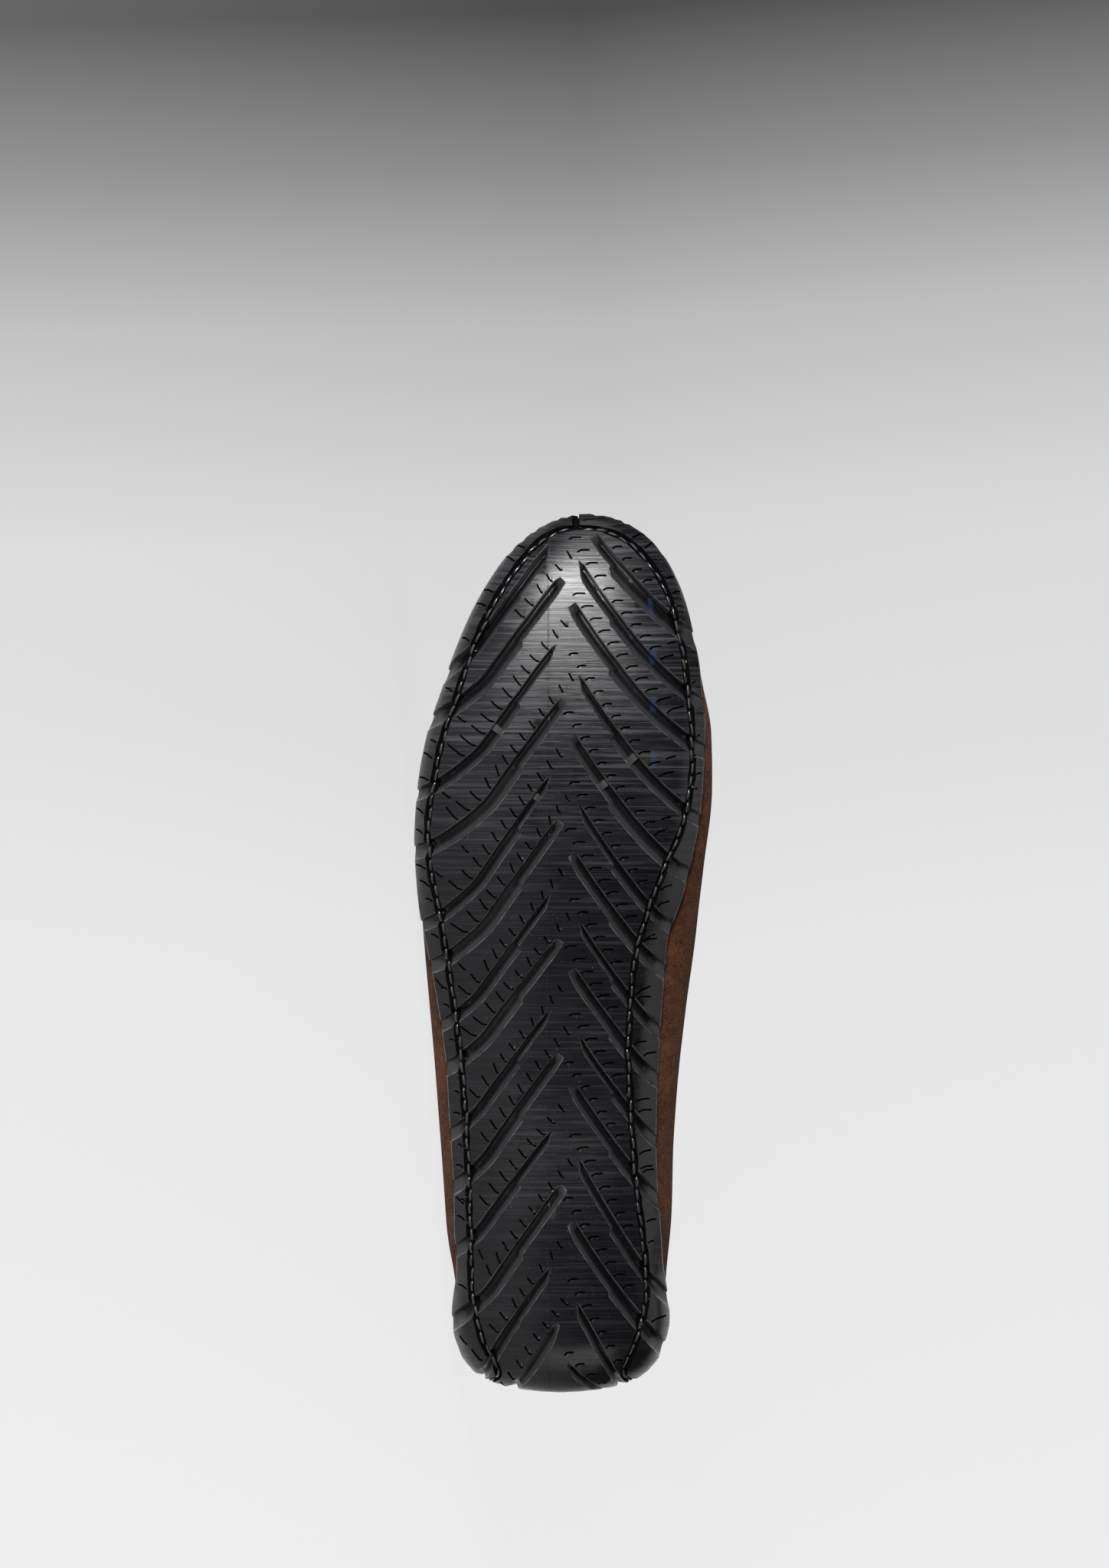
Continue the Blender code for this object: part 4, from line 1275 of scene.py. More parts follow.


# Upper: fineness of its grids, and soft creases, listed one by one
WRAP_ROWS = 250
WRAP_COLUMNS = 78
CREASES = (
    ("x", "girth", "length", "girth_run", "width", "depth"),
    (0.190, 0.66, 0.020, 0.16, 0.0050, -0.0011),
    (0.200, 0.72, 0.018, 0.14, 0.0045, -0.0010),
    (0.194, -0.66, 0.020, -0.16, 0.0050, -0.0011),
    (0.205, -0.70, 0.016, -0.12, 0.0045, -0.0009),
    (0.047, 0.72, 0.014, 0.10, 0.0060, -0.0010),
    (0.055, -0.70, 0.014, -0.10, 0.0060, -0.0010),
    (0.107, 0.60, 0.028, 0.06, 0.0080, -0.0009),
    (0.113, -0.62, 0.026, -0.06, 0.0080, -0.0009),
    (0.145, 0.52, 0.024, 0.10, 0.0070, 0.0007),
    (0.183, 0.93, 0.003, 0.30, 0.0055, -0.0010),
    (0.192, 0.97, 0.002, 0.30, 0.0050, -0.0009),
    (0.184, -0.93, 0.003, -0.30, 0.0055, -0.0010),
    (0.193, -0.97, 0.002, -0.30, 0.0050, -0.0009),
)
GIRTH_LENGTH = 0.09
SEAM_TURN = 0.012
SEAM_RIDGE = 0.0013
SEAM_WIDTH = 0.0019
PUCKER_PITCH = 0.0046
PUCKER_DEPTH = 0.00042
PUCKER_REACH = 0.0085
HEEL_SEAM_DEPTH = 0.0006
HEEL_SEAM_WIDTH = 0.0009


def apron_half(x):
    """Half width of the apron inside its seam, rounding off towards the toe."""
    reach = np.clip((x - APRON_FRONT + APRON_ROUND) / APRON_ROUND, 0.0, 1.0)
    return 0.5 * APRON_WIDTH * (1.0 - reach ** PLAN_POWER) ** (1.0 / PLAN_POWER)


def seam_girth(x, side):
    """Girth of the apron seam, or of a band just under the collar edge behind the apron."""
    x = np.asarray(x, float)
    width = np.maximum(half_width(x, np.full(x.shape, side)), SLACK)
    share = apron_half(x) / width
    open_share = collar_half(x) / width
    shoulder = 0.5 * math.pi - bend_angle(share, TOP_POWER)
    last = 0.5 * math.pi - bend_angle(open_share, TOP_POWER)
    girth = WIDEST + (1.0 - WIDEST) * shoulder / last
    girth = np.where((share <= open_share), COLLAR_BAND, girth)
    girth = np.where(x < THROAT, np.minimum(girth, COLLAR_BAND), girth)
    return np.where(x >= APRON_FRONT, 1.0, girth)


def line_at(distances, lengths, points):
    """Points of a line at distances along it."""
    return np.stack([np.interp(distances, lengths, points[:, axis]) for axis in range(3)], axis=-1)


def seam_line():
    """Even distances along the apron seam and its points there, round the toe to the other side."""
    xs = np.concatenate((
        np.linspace(APRON_HORN, APRON_FRONT - SEAM_TURN, 300)[:-1],
        APRON_FRONT - SEAM_TURN * (1.0 - np.sin(np.linspace(0.0, 0.5 * math.pi, 120))),
    ))
    xs = np.clip(xs, APRON_HORN, APRON_FRONT - 1e-6)
    lateral = -seam_girth(xs, LATERAL)
    medial = seam_girth(xs, MEDIAL)
    along = np.concatenate((xs, xs[::-1]))
    girths = np.concatenate((lateral, medial[::-1]))
    points = skin(along, girths)
    lengths = lengths_along(points)
    even = np.linspace(0.0, lengths[-1], int(lengths[-1] / 0.0005))
    return even, line_at(even, lengths, points)


SEAM_LENGTHS, SEAM_POINTS = seam_line()


def seam_tree():
    """The seam's points, ready to look up the nearest."""
    tree = kdtree.KDTree(len(SEAM_POINTS))
    for index, point in enumerate(SEAM_POINTS):
        tree.insert(point, index)
    tree.balance()
    return tree


SEAM_TREE = seam_tree()


def from_seam(points):
    """Distance of points from the apron seam, and how far along it they are."""
    found = [SEAM_TREE.find(point) for point in points.reshape(-1, 3)]
    away = np.array([item[2] for item in found]).reshape(points.shape[:-1])
    along = SEAM_LENGTHS[[item[1] for item in found]].reshape(points.shape[:-1])
    return away, along


def crease_lift(x, girth):
    """Soft troughs and ridges of the leather, fading out towards the outsole."""
    lift = np.zeros(np.broadcast(x, girth).shape)
    for row in rows_of(CREASES):
        run = np.array([row["length"], row["girth_run"] * GIRTH_LENGTH])
        size = float(np.linalg.norm(run))
        offset_x = x - row["x"]
        offset_g = (girth - row["girth"]) * GIRTH_LENGTH
        along = (offset_x * run[0] + offset_g * run[1]) / size
        across = (offset_x * run[1] - offset_g * run[0]) / size
        lift = lift + row["depth"] * np.exp(-(along / (0.6 * size)) ** 2 - (across / row["width"]) ** 2)
    free = smooth((np.abs(girth) - rim_girth(x, girth) - 0.02) / 0.06)
    return lift * free


def seam_lift(x, girth, inside):
    """The gathered ridge of the moccasin seam, and the puckers that run out from it."""
    away, along = from_seam(skin(x, girth))
    wave = np.sin(2.0 * math.pi * along / PUCKER_PITCH)
    ridge = SEAM_RIDGE * np.exp(-(away / SEAM_WIDTH) ** 2) * (1.0 + 0.22 * wave)
    round_toe = smooth((x - 0.60 * LENGTH) / (0.20 * LENGTH))
    reach = PUCKER_REACH * (0.35 if inside else 1.0)
    pucker = PUCKER_DEPTH * (0.35 + 0.65 * round_toe) * wave * np.exp(-away / reach)
    pucker = pucker * smooth(away / 0.0012)
    free = smooth((np.abs(girth) - rim_girth(x, girth) - 0.02) / 0.05)
    started = smooth((x - APRON_HORN) / 0.006)
    return (ridge * (0.55 if inside else 1.0) + pucker) * free * started


def heel_seam_lift(x, girth):
    """The trough of the seam up the middle of the heel."""
    side = skin(x, girth)[..., 1] - spine(x)
    rear = smooth((0.020 - x) / 0.006)
    return -HEEL_SEAM_DEPTH * np.exp(-(side / HEEL_SEAM_WIDTH) ** 2) * rear * (np.abs(girth) > 0.62)


def grid_faces(rows, columns, base=0, flip=False):
    """Quads of a grid of points numbered row by row."""
    made = []
    for row in range(rows - 1):
        for column in range(columns - 1):
            a = base + row * columns + column
            quad = (a, a + 1, a + columns + 1, a + columns)
            made.append(quad[::-1] if flip else quad)
    return made


def wrap_stations():
    """Distances from the heel for the upper's rows, with one at the throat."""
    rear = 0.5 * THROAT * (1.0 - np.cos(np.linspace(0.0, math.pi, int(WRAP_ROWS * 0.50))))
    reach = LENGTH - THROAT
    front = THROAT + reach * np.sin(np.linspace(0.0, 0.5 * math.pi, int(WRAP_ROWS * 0.50)))
    return np.concatenate((rear[:-1], front))


def build_wrap(suede, lining):
    """The upper's leather wrap, outside and lining, from the collar edge round under the foot."""
    xs = wrap_stations()
    medial = np.linspace(0.0, 1.0, WRAP_COLUMNS)
    girths = np.concatenate((np.linspace(-1.0, 0.0, WRAP_COLUMNS)[:-1], medial))
    grid_x = np.repeat(xs[:, None], len(girths), axis=1)
    grid_g = np.repeat(girths[None, :], len(xs), axis=0)
    creases = crease_lift(grid_x, grid_g)
    outside = creases + seam_lift(grid_x, grid_g, False) + heel_seam_lift(grid_x, grid_g)
    outer = lifted_skin(grid_x, grid_g, outside)
    inner = lifted_skin(grid_x, grid_g, creases - WALL)
    count = len(xs) * len(girths)
    points = np.concatenate((outer.reshape(-1, 3), inner.reshape(-1, 3)))
    faces = grid_faces(len(xs), len(girths)) + grid_faces(len(xs), len(girths), count, True)
    collar = [index for index, x in enumerate(xs) if x <= THROAT + SLACK]
    for column in (0, len(girths) - 1):
        for a, b in zip(collar, collar[1:]):
            first = a * len(girths) + column
            second = b * len(girths) + column
            quad = (first, second, second + count, first + count)
            faces.append(quad if column else quad[::-1])
    mesh = mesh_of("upper_wrap", points, faces)
    mesh.materials.append(suede)
    mesh.materials.append(lining)
    per_side = (len(xs) - 1) * (len(girths) - 1)
    for index in range(per_side, 2 * per_side):
        mesh.polygons[index].material_index = 1
    tidy_mesh(mesh)
    link(mesh, ["upper"])


APRON_COLUMNS = 34


def build_apron(suede):
    """The raised apron inside the moccasin seam, with a horn along each collar side."""
    xs = wrap_stations()
    xs = xs[(xs >= APRON_HORN - SLACK) & (xs <= APRON_FRONT)]
    xs = np.concatenate((xs, [APRON_FRONT]))
    share = np.linspace(0.0, 1.0, APRON_COLUMNS) ** 1.3
    points = []
    faces = []
    for side in (LATERAL, MEDIAL):
        seam = seam_girth(xs, side)
        grid_g = side * (seam[:, None] + (1.0 - seam[:, None]) * share[None, :])
        grid_x = np.repeat(xs[:, None], APRON_COLUMNS, axis=1)
        turn_down = 1.0 - np.clip(1.0 - share / 0.08, 0.0, 1.0) ** 2
        lift = GAP + APRON_WALL * turn_down[None, :]
        lift = lift + crease_lift(grid_x, grid_g) + seam_lift(grid_x, grid_g, True)
        top = lifted_skin(grid_x, grid_g, lift)
        base = len(points)
        points.extend(top.reshape(-1, 3))
        faces += grid_faces(len(xs), APRON_COLUMNS, base, side > 0)
    mesh = mesh_of("apron_panel", points, faces)
    mesh.materials.append(suede)
    tidy_mesh(mesh)
    link(mesh, ["apron"])


# Hand stitches over the moccasin seam
SEAM_STITCH_RADIUS = 0.00046
SEAM_STITCH_REACH = 0.0027


def build_seam_stitches(material):
    """Waxed stitches across the ridge of the moccasin seam, one in each pucker's valley."""
    first = 0.75 * PUCKER_PITCH
    middles = np.arange(first + PUCKER_PITCH, SEAM_LENGTHS[-1] - PUCKER_PITCH, PUCKER_PITCH)
    points = line_at(middles, SEAM_LENGTHS, SEAM_POINTS)
    ahead = line_at(middles + 0.001, SEAM_LENGTHS, SEAM_POINTS)
    run = ahead - points
    run /= np.linalg.norm(run, axis=-1, keepdims=True)
    centre = np.stack((points[:, 0] - 0.004, spine(points[:, 0]), widest_height(points[:, 0])), axis=-1)
    up = points - centre
    up[:, 0] *= smooth((points[:, 0] - APRON_FRONT + APRON_ROUND) / APRON_ROUND) * 0.5
    up -= run * np.sum(up * run, axis=-1, keepdims=True)
    up /= np.linalg.norm(up, axis=-1, keepdims=True)
    across = np.cross(run, up)
    share = np.linspace(-1.0, 1.0, STITCH_RINGS)
    height = 0.0001 + (SEAM_RIDGE + 0.0011) * (1.0 - np.abs(share) ** 2.2)
    centres = (
        points[:, None, :]
        + SEAM_STITCH_REACH * share[None, :, None] * across[:, None, :]
        + height[None, :, None] * up[:, None, :]
        + 0.0005 * share[None, :, None] * run[:, None, :]
    )
    ups = np.repeat(up[:, None, :], STITCH_RINGS, axis=1)
    build_stitches("seam_stitches", centres, ups, SEAM_STITCH_RADIUS, material)


# Collar binding
BINDING_RADIUS = 0.0015
BINDING_THICK = 0.0023
BINDING_SIDES = 14


def build_binding(suede):
    """The rolled binding round the collar, thicker where it takes in the apron's horns."""
    rear = 0.5 * THROAT * (1.0 - np.cos(np.linspace(0.0, math.pi, 150)))
    xs = np.concatenate((rear, rear[::-1][1:-1]))
    girths = np.concatenate((np.full(150, -1.0), np.full(148, 1.0)))
    horn = smooth((xs - APRON_HORN + 0.004) / 0.010)
    lift = -0.5 * WALL + (0.5 * (APRON_WALL + GAP) + 0.0002) * horn
    centres = lifted_skin(xs, girths, lift)
    along = np.roll(centres, -1, axis=0) - np.roll(centres, 1, axis=0)
    along /= np.maximum(np.linalg.norm(along, axis=-1, keepdims=True), 1e-12)
    outward = skin_normal(xs, girths)
    outward -= along * np.sum(along * outward, axis=-1, keepdims=True)
    outward /= np.linalg.norm(outward, axis=-1, keepdims=True)
    upward = np.cross(along, outward)
    radius = BINDING_RADIUS + (BINDING_THICK - BINDING_RADIUS) * horn
    angles = np.linspace(0.0, 2.0 * math.pi, BINDING_SIDES, endpoint=False)
    ripple = 1.0 + 0.03 * np.sin(np.arange(len(xs)) * 1.7)
    points = (
        centres[:, None, :]
        + (radius * ripple)[:, None, None] * np.cos(angles)[None, :, None] * outward[:, None, :]
        + 0.0017 * np.sin(angles)[None, :, None] * upward[:, None, :]
    ).reshape(-1, 3)
    faces = []
    count = len(xs)
    for row in range(count):
        for side in range(BINDING_SIDES):
            after = (side + 1) % BINDING_SIDES
            low = row * BINDING_SIDES
            high = ((row + 1) % count) * BINDING_SIDES
            faces.append((low + side, low + after, high + after, high + side))
    mesh = mesh_of("collar_binding", points, faces)
    mesh.materials.append(suede)
    tidy_mesh(mesh)
    link(mesh)


def floor_height(x, y):
    """Height of the skin's bottom at a sideways place."""
    offset = y - spine(x)
    width = half_width(x, offset)
    keel = keel_height(x)
    rest = np.maximum(1.0 - (np.abs(offset) / width) ** BOTTOM_POWER, 0.0)
    return widest_height(x) - (widest_height(x) - keel) * rest ** (1.0 / BOTTOM_POWER)


def build_insole(leather):
    """The insole, a leather sock lying inside on the bottom of the wrap."""
    turns = np.linspace(0.0, 1.0, 90)
    shares = np.linspace(-1.0, 1.0, 41)
    x = INSOLE_START + (INSOLE_END - INSOLE_START) * 0.5 * (1.0 - np.cos(math.pi * turns))
    round_off = np.sin(math.pi * turns) ** INSOLE_ROUNDING
    left = (half_width(x, np.full(x.shape, LATERAL)) - INSOLE_MARGIN) * round_off
    right = (half_width(x, np.full(x.shape, MEDIAL)) - INSOLE_MARGIN) * round_off
    out = shares[None, :] * np.where(shares[None, :] < 0.0, left[:, None], right[:, None])
    grid_x = np.repeat(x[:, None], len(shares), axis=1)
    grid_y = spine(grid_x) + out
    base = floor_height(grid_x, grid_y)
    slope_x = (floor_height(grid_x + GAP, grid_y) - floor_height(grid_x - GAP, grid_y)) / (2.0 * GAP)
    slope_y = (floor_height(grid_x, grid_y + GAP) - floor_height(grid_x, grid_y - GAP)) / (2.0 * GAP)
    normal = np.stack((-slope_x, -slope_y, np.ones(base.shape)), axis=-1)
    normal /= np.linalg.norm(normal, axis=-1, keepdims=True)
    flat = np.stack((grid_x, grid_y, base), axis=-1)
    under = flat + (WALL + INSOLE_GAP) * normal
    soften = (1.0 - np.abs(shares)[None, :] ** 12) * np.minimum(1.0, round_off[:, None] * 1.4)
    over = flat + (WALL + INSOLE_GAP + INSOLE_THICKNESS * (0.55 + 0.45 * soften))[..., None] * normal
    count = flat.shape[0] * flat.shape[1]
    points = np.concatenate((under.reshape(-1, 3), over.reshape(-1, 3)))
    faces = grid_faces(len(x), len(shares), 0, True) + grid_faces(len(x), len(shares), count)
    for column in (0, len(shares) - 1):
        for row in range(len(x) - 1):
            a = row * len(shares) + column
            b = a + len(shares)
            faces.append((a, b, b + count, a + count) if column == 0 else (b, a, a + count, b + count))
    mesh = mesh_of("insole_sock", points, faces)
    mesh.materials.append(leather)
    tidy_mesh(mesh, 40.0)
    link(mesh, ["insole"])


# Faint blue pencil dashes by the medial edge, by pixel
BLUE_DASHES = (
    ("pixel_x", "low_y", "high_y"),
    (852, 780, 800), (853, 848, 865), (854, 912, 927), (853, 984, 1000),
)
DASH_FADE = 0.001
DASH_WIDTH = (0.0004, 0.0013)


class Paint:
    """A procedural material whose nodes are added one after another."""

    def __init__(self, name):
        self.material = bpy.data.materials.new(name)
        self.material.use_nodes = True
        self.nodes = self.material.node_tree.nodes
        self.links = self.material.node_tree.links
        self.shader = self.nodes["Principled BSDF"]

    def put(self, socket, value):
        """Set a socket to a constant, or link it."""
        if isinstance(value, bpy.types.NodeSocket):
            self.links.new(value, socket)
        elif isinstance(value, tuple) and len(value) == 3 and socket.type == "RGBA":
            socket.default_value = (*value, 1.0)
        else:
            socket.default_value = value

    def places(self, name):
        """A mesh's own attribute, as a vector."""
        node = self.nodes.new("ShaderNodeAttribute")
        node.attribute_name = name
        return node.outputs["Vector"]

    def parts(self, vector):
        """The three parts of a vector."""
        node = self.nodes.new("ShaderNodeSeparateXYZ")
        self.put(node.inputs[0], vector)
        return node.outputs[0], node.outputs[1], node.outputs[2]

    def scaled(self, vector, scale):
        """A vector scaled by its parts."""
        node = self.nodes.new("ShaderNodeMapping")
        self.put(node.inputs["Vector"], vector)
        node.inputs["Scale"].default_value = scale
        return node.outputs[0]

    def noise(self, vector, scale, detail=3.0, rough=0.5):
        """Fractal noise from 0 to 1."""
        node = self.nodes.new("ShaderNodeTexNoise")
        self.put(node.inputs["Vector"], vector)
        node.inputs["Scale"].default_value = scale
        node.inputs["Detail"].default_value = detail
        node.inputs["Roughness"].default_value = rough
        return node.outputs["Fac"]

    def math(self, kind, first, second=0.0, held=False):
        """One sum of two values."""
        node = self.nodes.new("ShaderNodeMath")
        node.operation = kind
        node.use_clamp = held
        self.put(node.inputs[0], first)
        self.put(node.inputs[1], second)
        return node.outputs[0]

    def times(self, first, second):
        """Two values multiplied."""
        return self.math("MULTIPLY", first, second)

    def plus(self, first, second, held=False):
        """Two values added."""
        return self.math("ADD", first, second, held)

    def band(self, value, rise, fall):
        """A share that rises over one range of a value and falls over another."""
        return self.times(self.range(value, *rise), self.range(value, *fall, 1.0, 0.0))

    def range(self, value, low, high, start=0.0, end=1.0):
        """A value eased from one range into another."""
        node = self.nodes.new("ShaderNodeMapRange")
        node.interpolation_type = "SMOOTHSTEP"
        self.put(node.inputs["Value"], value)
        node.inputs["From Min"].default_value = low
        node.inputs["From Max"].default_value = high
        node.inputs["To Min"].default_value = start
        node.inputs["To Max"].default_value = end
        return node.outputs["Result"]

    def blend(self, share, first, second):
        """A mix of two colours."""
        node = self.nodes.new("ShaderNodeMix")
        node.data_type = "RGBA"
        self.put(node.inputs[0], share)
        self.put(node.inputs[6], first)
        self.put(node.inputs[7], second)
        return node.outputs[2]

    def bump(self, height, distance, strength=1.0, normal=None):
        """A normal bent by a height."""
        node = self.nodes.new("ShaderNodeBump")
        node.inputs["Strength"].default_value = strength
        node.inputs["Distance"].default_value = distance
        self.put(node.inputs["Height"], height)
        if normal is not None:
            self.put(node.inputs["Normal"], normal)
        return node.outputs[0]

    def finish(self, **values):
        """Feed the shader's sockets by name, with spaces written as underscores."""
        for name, value in values.items():
            self.put(self.shader.inputs[name.replace("_", " ")], value)
        return self.material


def rubber_material():
    """Moulded black rubber: ground lug tops with cross scratches, lighter towards the toe as a painted
    highlight; matt groove faces, painted lighter partly as painted light; worn edges with a painted
    highlight; painted shade in the narrow cuts.
    """
    paint = Paint("tread_rubber")
    upright = paint.places("upright")
    pattern = paint.places("pattern")
    u, v, narrow = paint.parts(pattern)
    node = paint.nodes.new("ShaderNodeAttribute")
    node.attribute_name = "sunk"
    sunk = node.outputs["Fac"]
    top = paint.range(sunk, 0.00003, 0.00012, 1.0, 0.0)
    face = paint.band(sunk, (0.0001, 0.0006), (0.0014, 0.0026))
    lip = paint.band(sunk, (0.00002, 0.0001), (0.00014, 0.0004))
    cut = paint.range(narrow, 0.00008, 0.00042)
    front = paint.range(u, 0.13, 0.25)
    broad = paint.noise(paint.scaled(pattern, (900.0, 15.0, 0.0)), 1.0, 5.0, 0.62)
    hair = paint.noise(paint.scaled(pattern, (3400.0, 40.0, 0.0)), 1.0, 3.0, 0.6)
    streaks = paint.times(paint.range(broad, 0.46, 0.66), top)
    hairs = paint.times(paint.range(hair, 0.50, 0.72), top)
    scratch = paint.plus(paint.times(streaks, 0.55), paint.times(hairs, 0.45))
    patches = paint.noise(upright, 46.0, 4.0, 0.6)
    grain = paint.noise(upright, 3400.0, 3.0, 0.6)
    colour = paint.blend(paint.range(patches, 0.35, 0.7), (0.0021, 0.0020, 0.0027), (0.0036, 0.0035, 0.0044))
    # Scratch colour grows much lighter towards the toe: the scratches are real, the lightening towards the
    # toe is a painted highlight.
    scratches_with_painted_highlight = paint.times(scratch, paint.plus(0.07, paint.times(front, 0.63)))
    colour = paint.blend(scratches_with_painted_highlight, colour, (0.060, 0.060, 0.070))
    # Groove faces painted a lighter grey: partly the matt moulded rubber, partly painted light where the
    # faces turn towards the lamp.
    colour = paint.blend(paint.times(face, 0.8), colour, (0.0235, 0.0230, 0.0240))
    # Lighter grey along the groove edges: partly worn rubber, partly a painted highlight on the edge.
    wear = paint.times(lip, paint.range(paint.noise(upright, 330.0, 3.0, 0.6), 0.36, 0.62, 0.25, 0.9))
    colour = paint.blend(wear, colour, (0.085, 0.083, 0.088))
    specks = paint.range(paint.noise(upright, 1300.0, 2.0, 0.5), 0.70, 0.76)
    colour = paint.blend(paint.times(specks, 0.20), colour, (0.16, 0.15, 0.14))
    # Near-black where the narrow cuts open: painted shade.
    colour = paint.blend(cut, colour, (0.0012, 0.0012, 0.0014))
    for row in rows_of(BLUE_DASHES):
        ends = from_photo([(row["pixel_x"], row["low_y"]), (row["pixel_x"], row["high_y"])])
        along = paint.math("ABSOLUTE", paint.math("SUBTRACT", u, float(ends[:, 0].mean())))
        across = paint.math("ABSOLUTE", paint.math("SUBTRACT", v, float(ends[:, 1].mean())))
        half = 0.5 * float(ends[0, 0] - ends[1, 0])
        within = paint.range(along, half, half + DASH_FADE, 1.0, 0.0)
        dash = paint.times(within, paint.range(across, *DASH_WIDTH, 1.0, 0.0))
        colour = paint.blend(paint.times(dash, 0.20), colour, (0.020, 0.050, 0.115))
    rough = paint.plus(0.195, paint.times(patches, 0.09))
    rough = paint.plus(rough, paint.times(scratch, 0.24))
    rough = paint.plus(rough, paint.times(face, 0.16))
    rough = paint.plus(rough, paint.times(cut, 0.9), held=True)
    mould = paint.math("ABSOLUTE", paint.plus(v, 0.0040))
    line = paint.times(paint.range(mould, 0.0001, 0.0003, 1.0, 0.0), 0.5)
    worked = paint.times(top, paint.plus(0.35, paint.times(front, 0.65)))
    height = paint.plus(paint.times(broad, worked), line)
    height = paint.plus(height, paint.times(paint.times(hair, worked), 0.5))
    normal = paint.bump(height, 0.00009, 0.75)
    normal = paint.bump(grain, 0.00006, 0.35, normal)
    return paint.finish(Base_Color=colour, Roughness=rough, Specular_IOR_Level=0.27, Normal=normal)


def painted_shade_cut_material():
    """Painted shade inside the narrow cuts and channels: near-black and dull, with specks of old glue."""
    paint = Paint("rubber_cuts_painted_shade")
    upright = paint.places("upright")
    grain = paint.noise(upright, 1400.0, 3.0, 0.6)
    # Near-black colour for the inside of the cuts: painted shade.
    colour = paint.blend(grain, (0.0006, 0.0006, 0.0008), (0.0022, 0.0021, 0.0024))
    flecks = paint.range(paint.noise(upright, 620.0, 2.0, 0.5), 0.70, 0.73)
    colour = paint.blend(paint.times(flecks, 0.6), colour, (0.20, 0.16, 0.10))
    normal = paint.bump(grain, 0.0002, 0.5)
    return paint.finish(Base_Color=colour, Roughness=0.8, Specular_IOR_Level=0.03, Normal=normal)


def suede_material():
    """Brown suede: short nap in brushed patches, with a soft sheen."""
    paint = Paint("brown_suede")
    upright = paint.places("upright")
    brushed = paint.noise(upright, 60.0, 5.0, 0.62)
    patches = paint.noise(upright, 260.0, 4.0, 0.6)
    nap = paint.noise(upright, 1150.0, 4.0, 0.65)
    fibre = paint.noise(paint.scaled(upright, (1100.0, 3400.0, 3400.0)), 1.0, 3.0, 0.6)
    tone = paint.plus(paint.times(brushed, 0.30), paint.times(patches, 0.25))
    tone = paint.plus(tone, paint.times(nap, 0.45))
    colour = paint.blend(paint.range(tone, 0.38, 0.62), (0.018, 0.0062, 0.0028), (0.072, 0.0250, 0.0118))
    colour = paint.blend(paint.range(fibre, 0.60, 0.82, 0.0, 0.45), colour, (0.125, 0.052, 0.026))
    height = paint.plus(nap, paint.times(fibre, 0.6))
    normal = paint.bump(height, 0.00080, 0.75)
    normal = paint.bump(patches, 0.0009, 0.35, normal)
    return paint.finish(
        Base_Color=colour, Roughness=0.95, Specular_IOR_Level=0.12, Normal=normal,
        Sheen_Weight=0.06, Sheen_Roughness=0.45, Sheen_Tint=(0.80, 0.50, 0.36),
    )


def leather_material(name, dark, light, rough):
    """Smooth leather with a fine grain and soft wear."""
    paint = Paint(name)
    upright = paint.places("upright")
    patches = paint.noise(upright, 70.0, 4.0, 0.6)
    pores = paint.noise(upright, 1900.0, 3.0, 0.55)
    cells = paint.nodes.new("ShaderNodeTexVoronoi")
    paint.put(cells.inputs["Vector"], upright)
    cells.inputs["Scale"].default_value = 950.0
    colour = paint.blend(paint.range(patches, 0.3, 0.7), dark, light)
    colour = paint.blend(paint.range(pores, 0.62, 0.8, 0.0, 0.3), colour, dark)
    normal = paint.bump(cells.outputs["Distance"], 0.00016, 0.45)
    normal = paint.bump(pores, 0.0001, 0.3, normal)
    worn = paint.plus(rough, paint.times(patches, 0.16))
    return paint.finish(Base_Color=colour, Roughness=worn, Specular_IOR_Level=0.4, Normal=normal)


def thread_material(name, dark, light, rough, coat):
    """Waxed twisted thread, glossy here and worn there."""
    paint = Paint(name)
    upright = paint.places("upright")
    twist = paint.noise(upright, 2600.0, 2.0, 0.5)
    waxed = paint.range(paint.noise(upright, 170.0, 3.0, 0.6), 0.46, 0.60)
    colour = paint.blend(paint.range(twist, 0.35, 0.65), dark, light)
    normal = paint.bump(twist, 0.00012, 0.4)
    dull = paint.plus(rough, paint.times(paint.math("SUBTRACT", 1.0, waxed), 0.35))
    return paint.finish(
        Base_Color=colour, Roughness=dull, Specular_IOR_Level=0.5, Normal=normal,
        Coat_Weight=paint.times(waxed, coat), Coat_Roughness=0.12,
    )


# Background's grey glow, painted light that darkens towards the top as painted shade, from the top of the
# picture to its foot, by the picture's height
STAGE_TONES = (
    ("height", "tone"),
    (0.00, 0.050), (0.10, 0.24), (0.20, 0.50), (0.34, 0.70), (0.45, 0.73), (0.60, 0.80), (1.00, 0.86),
)
PAPER_BEND = 0.8
CAMERA_DISTANCE = 2.0
PICTURE_HEIGHT = 0.512
PICTURE_MIDDLE = Vector((0.196, -0.002, 0.0))


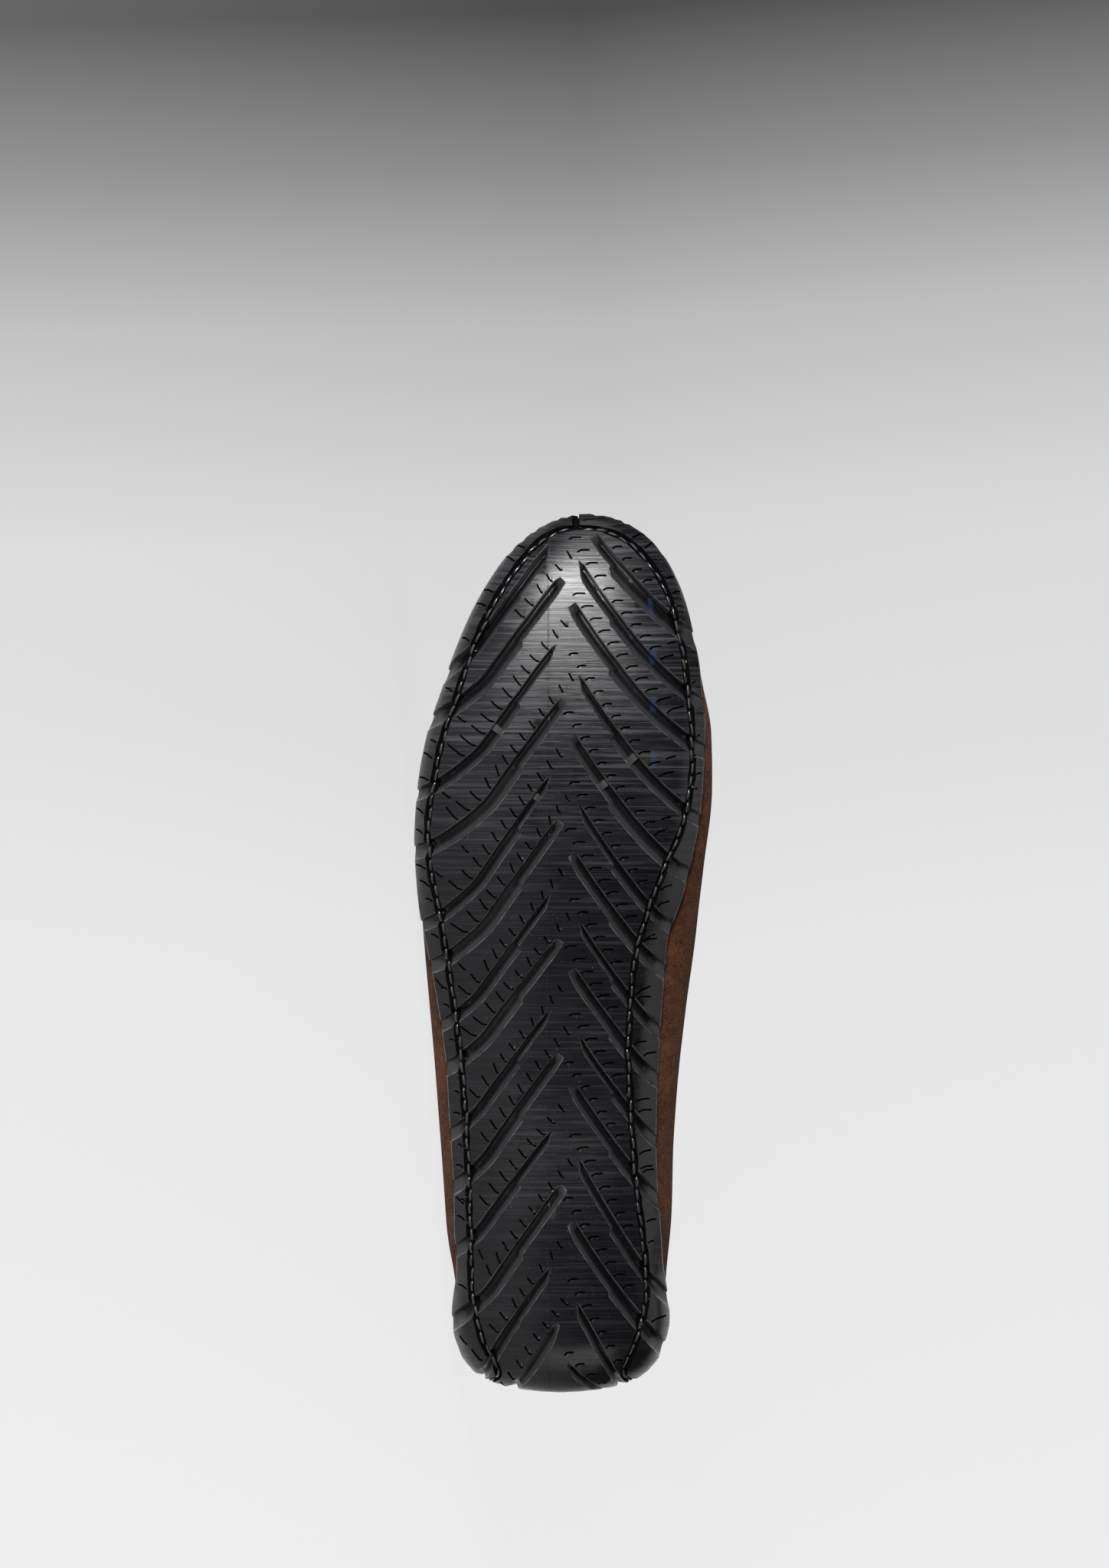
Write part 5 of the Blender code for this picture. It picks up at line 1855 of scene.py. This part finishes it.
def stage_material():
    """Seamless paper that glows as painted light in a grey run, darker towards the top of the picture as
    painted shade, laid out by place from where the camera stands.
    """
    paint = Paint("seamless_paper_painted_glow")
    place = paint.nodes.new("ShaderNodeNewGeometry").outputs["Position"]
    x, y, _ = paint.parts(place)
    middle = LYING @ PICTURE_MIDDLE
    away = paint.plus(y, CAMERA_DISTANCE - middle.y)
    seen = paint.math("DIVIDE", paint.math("SUBTRACT", x, middle.x), paint.math("MAXIMUM", away, 0.2))
    span = PICTURE_HEIGHT / CAMERA_DISTANCE
    height = paint.plus(paint.math("DIVIDE", seen, span), 0.5, held=True)
    ramp = paint.nodes.new("ShaderNodeValToRGB")
    paint.put(ramp.inputs[0], height)
    stops = ramp.color_ramp.elements
    rows = rows_of(STAGE_TONES)
    for index, row in enumerate(rows):
        stop = stops[index] if index < 2 else stops.new(row["height"])
        stop.position = row["height"]
        tone = row["tone"]
        stop.color = (tone * 0.995, tone * 0.995, tone * 1.005, 1.0)
    tone = ramp.outputs[0]
    return paint.finish(
        Base_Color=(0.07, 0.07, 0.07), Roughness=1.0, Specular_IOR_Level=0.0,
        Emission_Color=tone, Emission_Strength=0.94,
    )


def build_stage():
    """Seamless paper, pale by its painted glow: a floor that curves up into a wall."""
    points = []
    faces = []
    run = [(-3.0, 0.0), (1.0, 0.0)]
    for angle in np.linspace(0.1, 0.5 * math.pi, 14):
        run.append((1.0 + PAPER_BEND * math.sin(angle), PAPER_BEND - PAPER_BEND * math.cos(angle)))
    run += [(1.8, 3.0)]
    for y, z in run:
        points += [(-3.0, y, z), (3.0, y, z)]
    for index in range(len(run) - 1):
        faces.append((2 * index, 2 * index + 1, 2 * index + 3, 2 * index + 2))
    mesh = mesh_of("studio_floor", points, faces)
    mesh.shade_smooth()
    item = bpy.data.objects.new("studio_floor", mesh)
    bpy.context.collection.objects.link(item)
    mesh.materials.append(stage_material())
    return item


def build_camera():
    """Camera square on to the tread, rolled so that the toe is up."""
    data = bpy.data.cameras.new("camera")
    item = bpy.data.objects.new("camera", data)
    bpy.context.collection.objects.link(item)
    target = LYING @ PICTURE_MIDDLE
    turn = LYING.to_3x3()
    look = turn @ Vector((0.0, 0.0, 1.0))
    right = turn @ Vector((0.0, 1.0, 0.0))
    up = turn @ Vector((1.0, 0.0, 0.0))
    axes = Matrix((right, up, -look)).transposed()
    item.matrix_world = Matrix.Translation(target - CAMERA_DISTANCE * look) @ axes.to_4x4()
    data.sensor_width = 36.0
    data.lens = 36.0 * CAMERA_DISTANCE / PICTURE_HEIGHT
    data.clip_start = 0.05
    bpy.context.scene.camera = item
    return item


def add_light(name, place, target, size, power, colour=(1.0, 1.0, 1.0)):
    """A soft square light that looks at a point."""
    data = bpy.data.lights.new(name, "AREA")
    data.shape = "RECTANGLE"
    data.size, data.size_y = size
    data.energy = power
    data.color = colour
    item = bpy.data.objects.new(name, data)
    bpy.context.collection.objects.link(item)
    item.location = place
    item.rotation_mode = "QUATERNION"
    item.rotation_quaternion = (Vector(target) - Vector(place)).to_track_quat("-Z", "Y")
    return item


def build_lights():
    """A softbox towards the toe, weaker fills from the tread's side and above, and a grey room."""
    add_light("toe_softbox", (-0.95, -1.36, 0.12), (-0.09, 0.0, 0.04), (0.54, 0.54), 66.0)
    add_light("overhead", (-1.45, -0.42, 0.35), (0.0, 0.0, 0.04), (1.2, 1.1), 8.0)
    add_light("heel_fill", (0.85, -0.75, 0.20), (0.13, 0.0, 0.05), (0.5, 0.5), 2.2)
    add_light("upper_fill", (0.3, -0.2, 1.7), (0.0, 0.0, 0.05), (1.2, 1.2), 5.5)
    world = bpy.data.worlds.new("world")
    world.use_nodes = True
    world.node_tree.nodes["Background"].inputs["Color"].default_value = (0.9, 0.9, 0.92, 1.0)
    world.node_tree.nodes["Background"].inputs["Strength"].default_value = 0.05
    bpy.context.scene.world = world


def main():
    """Build every piece, the stage, the lights and the camera."""
    rubber = rubber_material()
    suede = suede_material()
    lining = leather_material("lining_leather", (0.22, 0.13, 0.075), (0.34, 0.215, 0.13), 0.52)
    waxed = thread_material("black_thread", (0.002, 0.002, 0.003), (0.007, 0.007, 0.008), 0.22, 0.6)
    brown = thread_material("brown_thread", (0.045, 0.018, 0.010), (0.10, 0.045, 0.026), 0.5, 0.15)
    channels = build_outsole(rubber, painted_shade_cut_material())
    build_sole_stitches(channels, waxed)
    build_wrap(suede, lining)
    build_apron(suede)
    build_seam_stitches(brown)
    build_binding(suede)
    build_insole(lining)
    build_stage()
    build_camera()
    build_lights()
    bpy.context.scene.view_settings.view_transform = "Standard"


main()
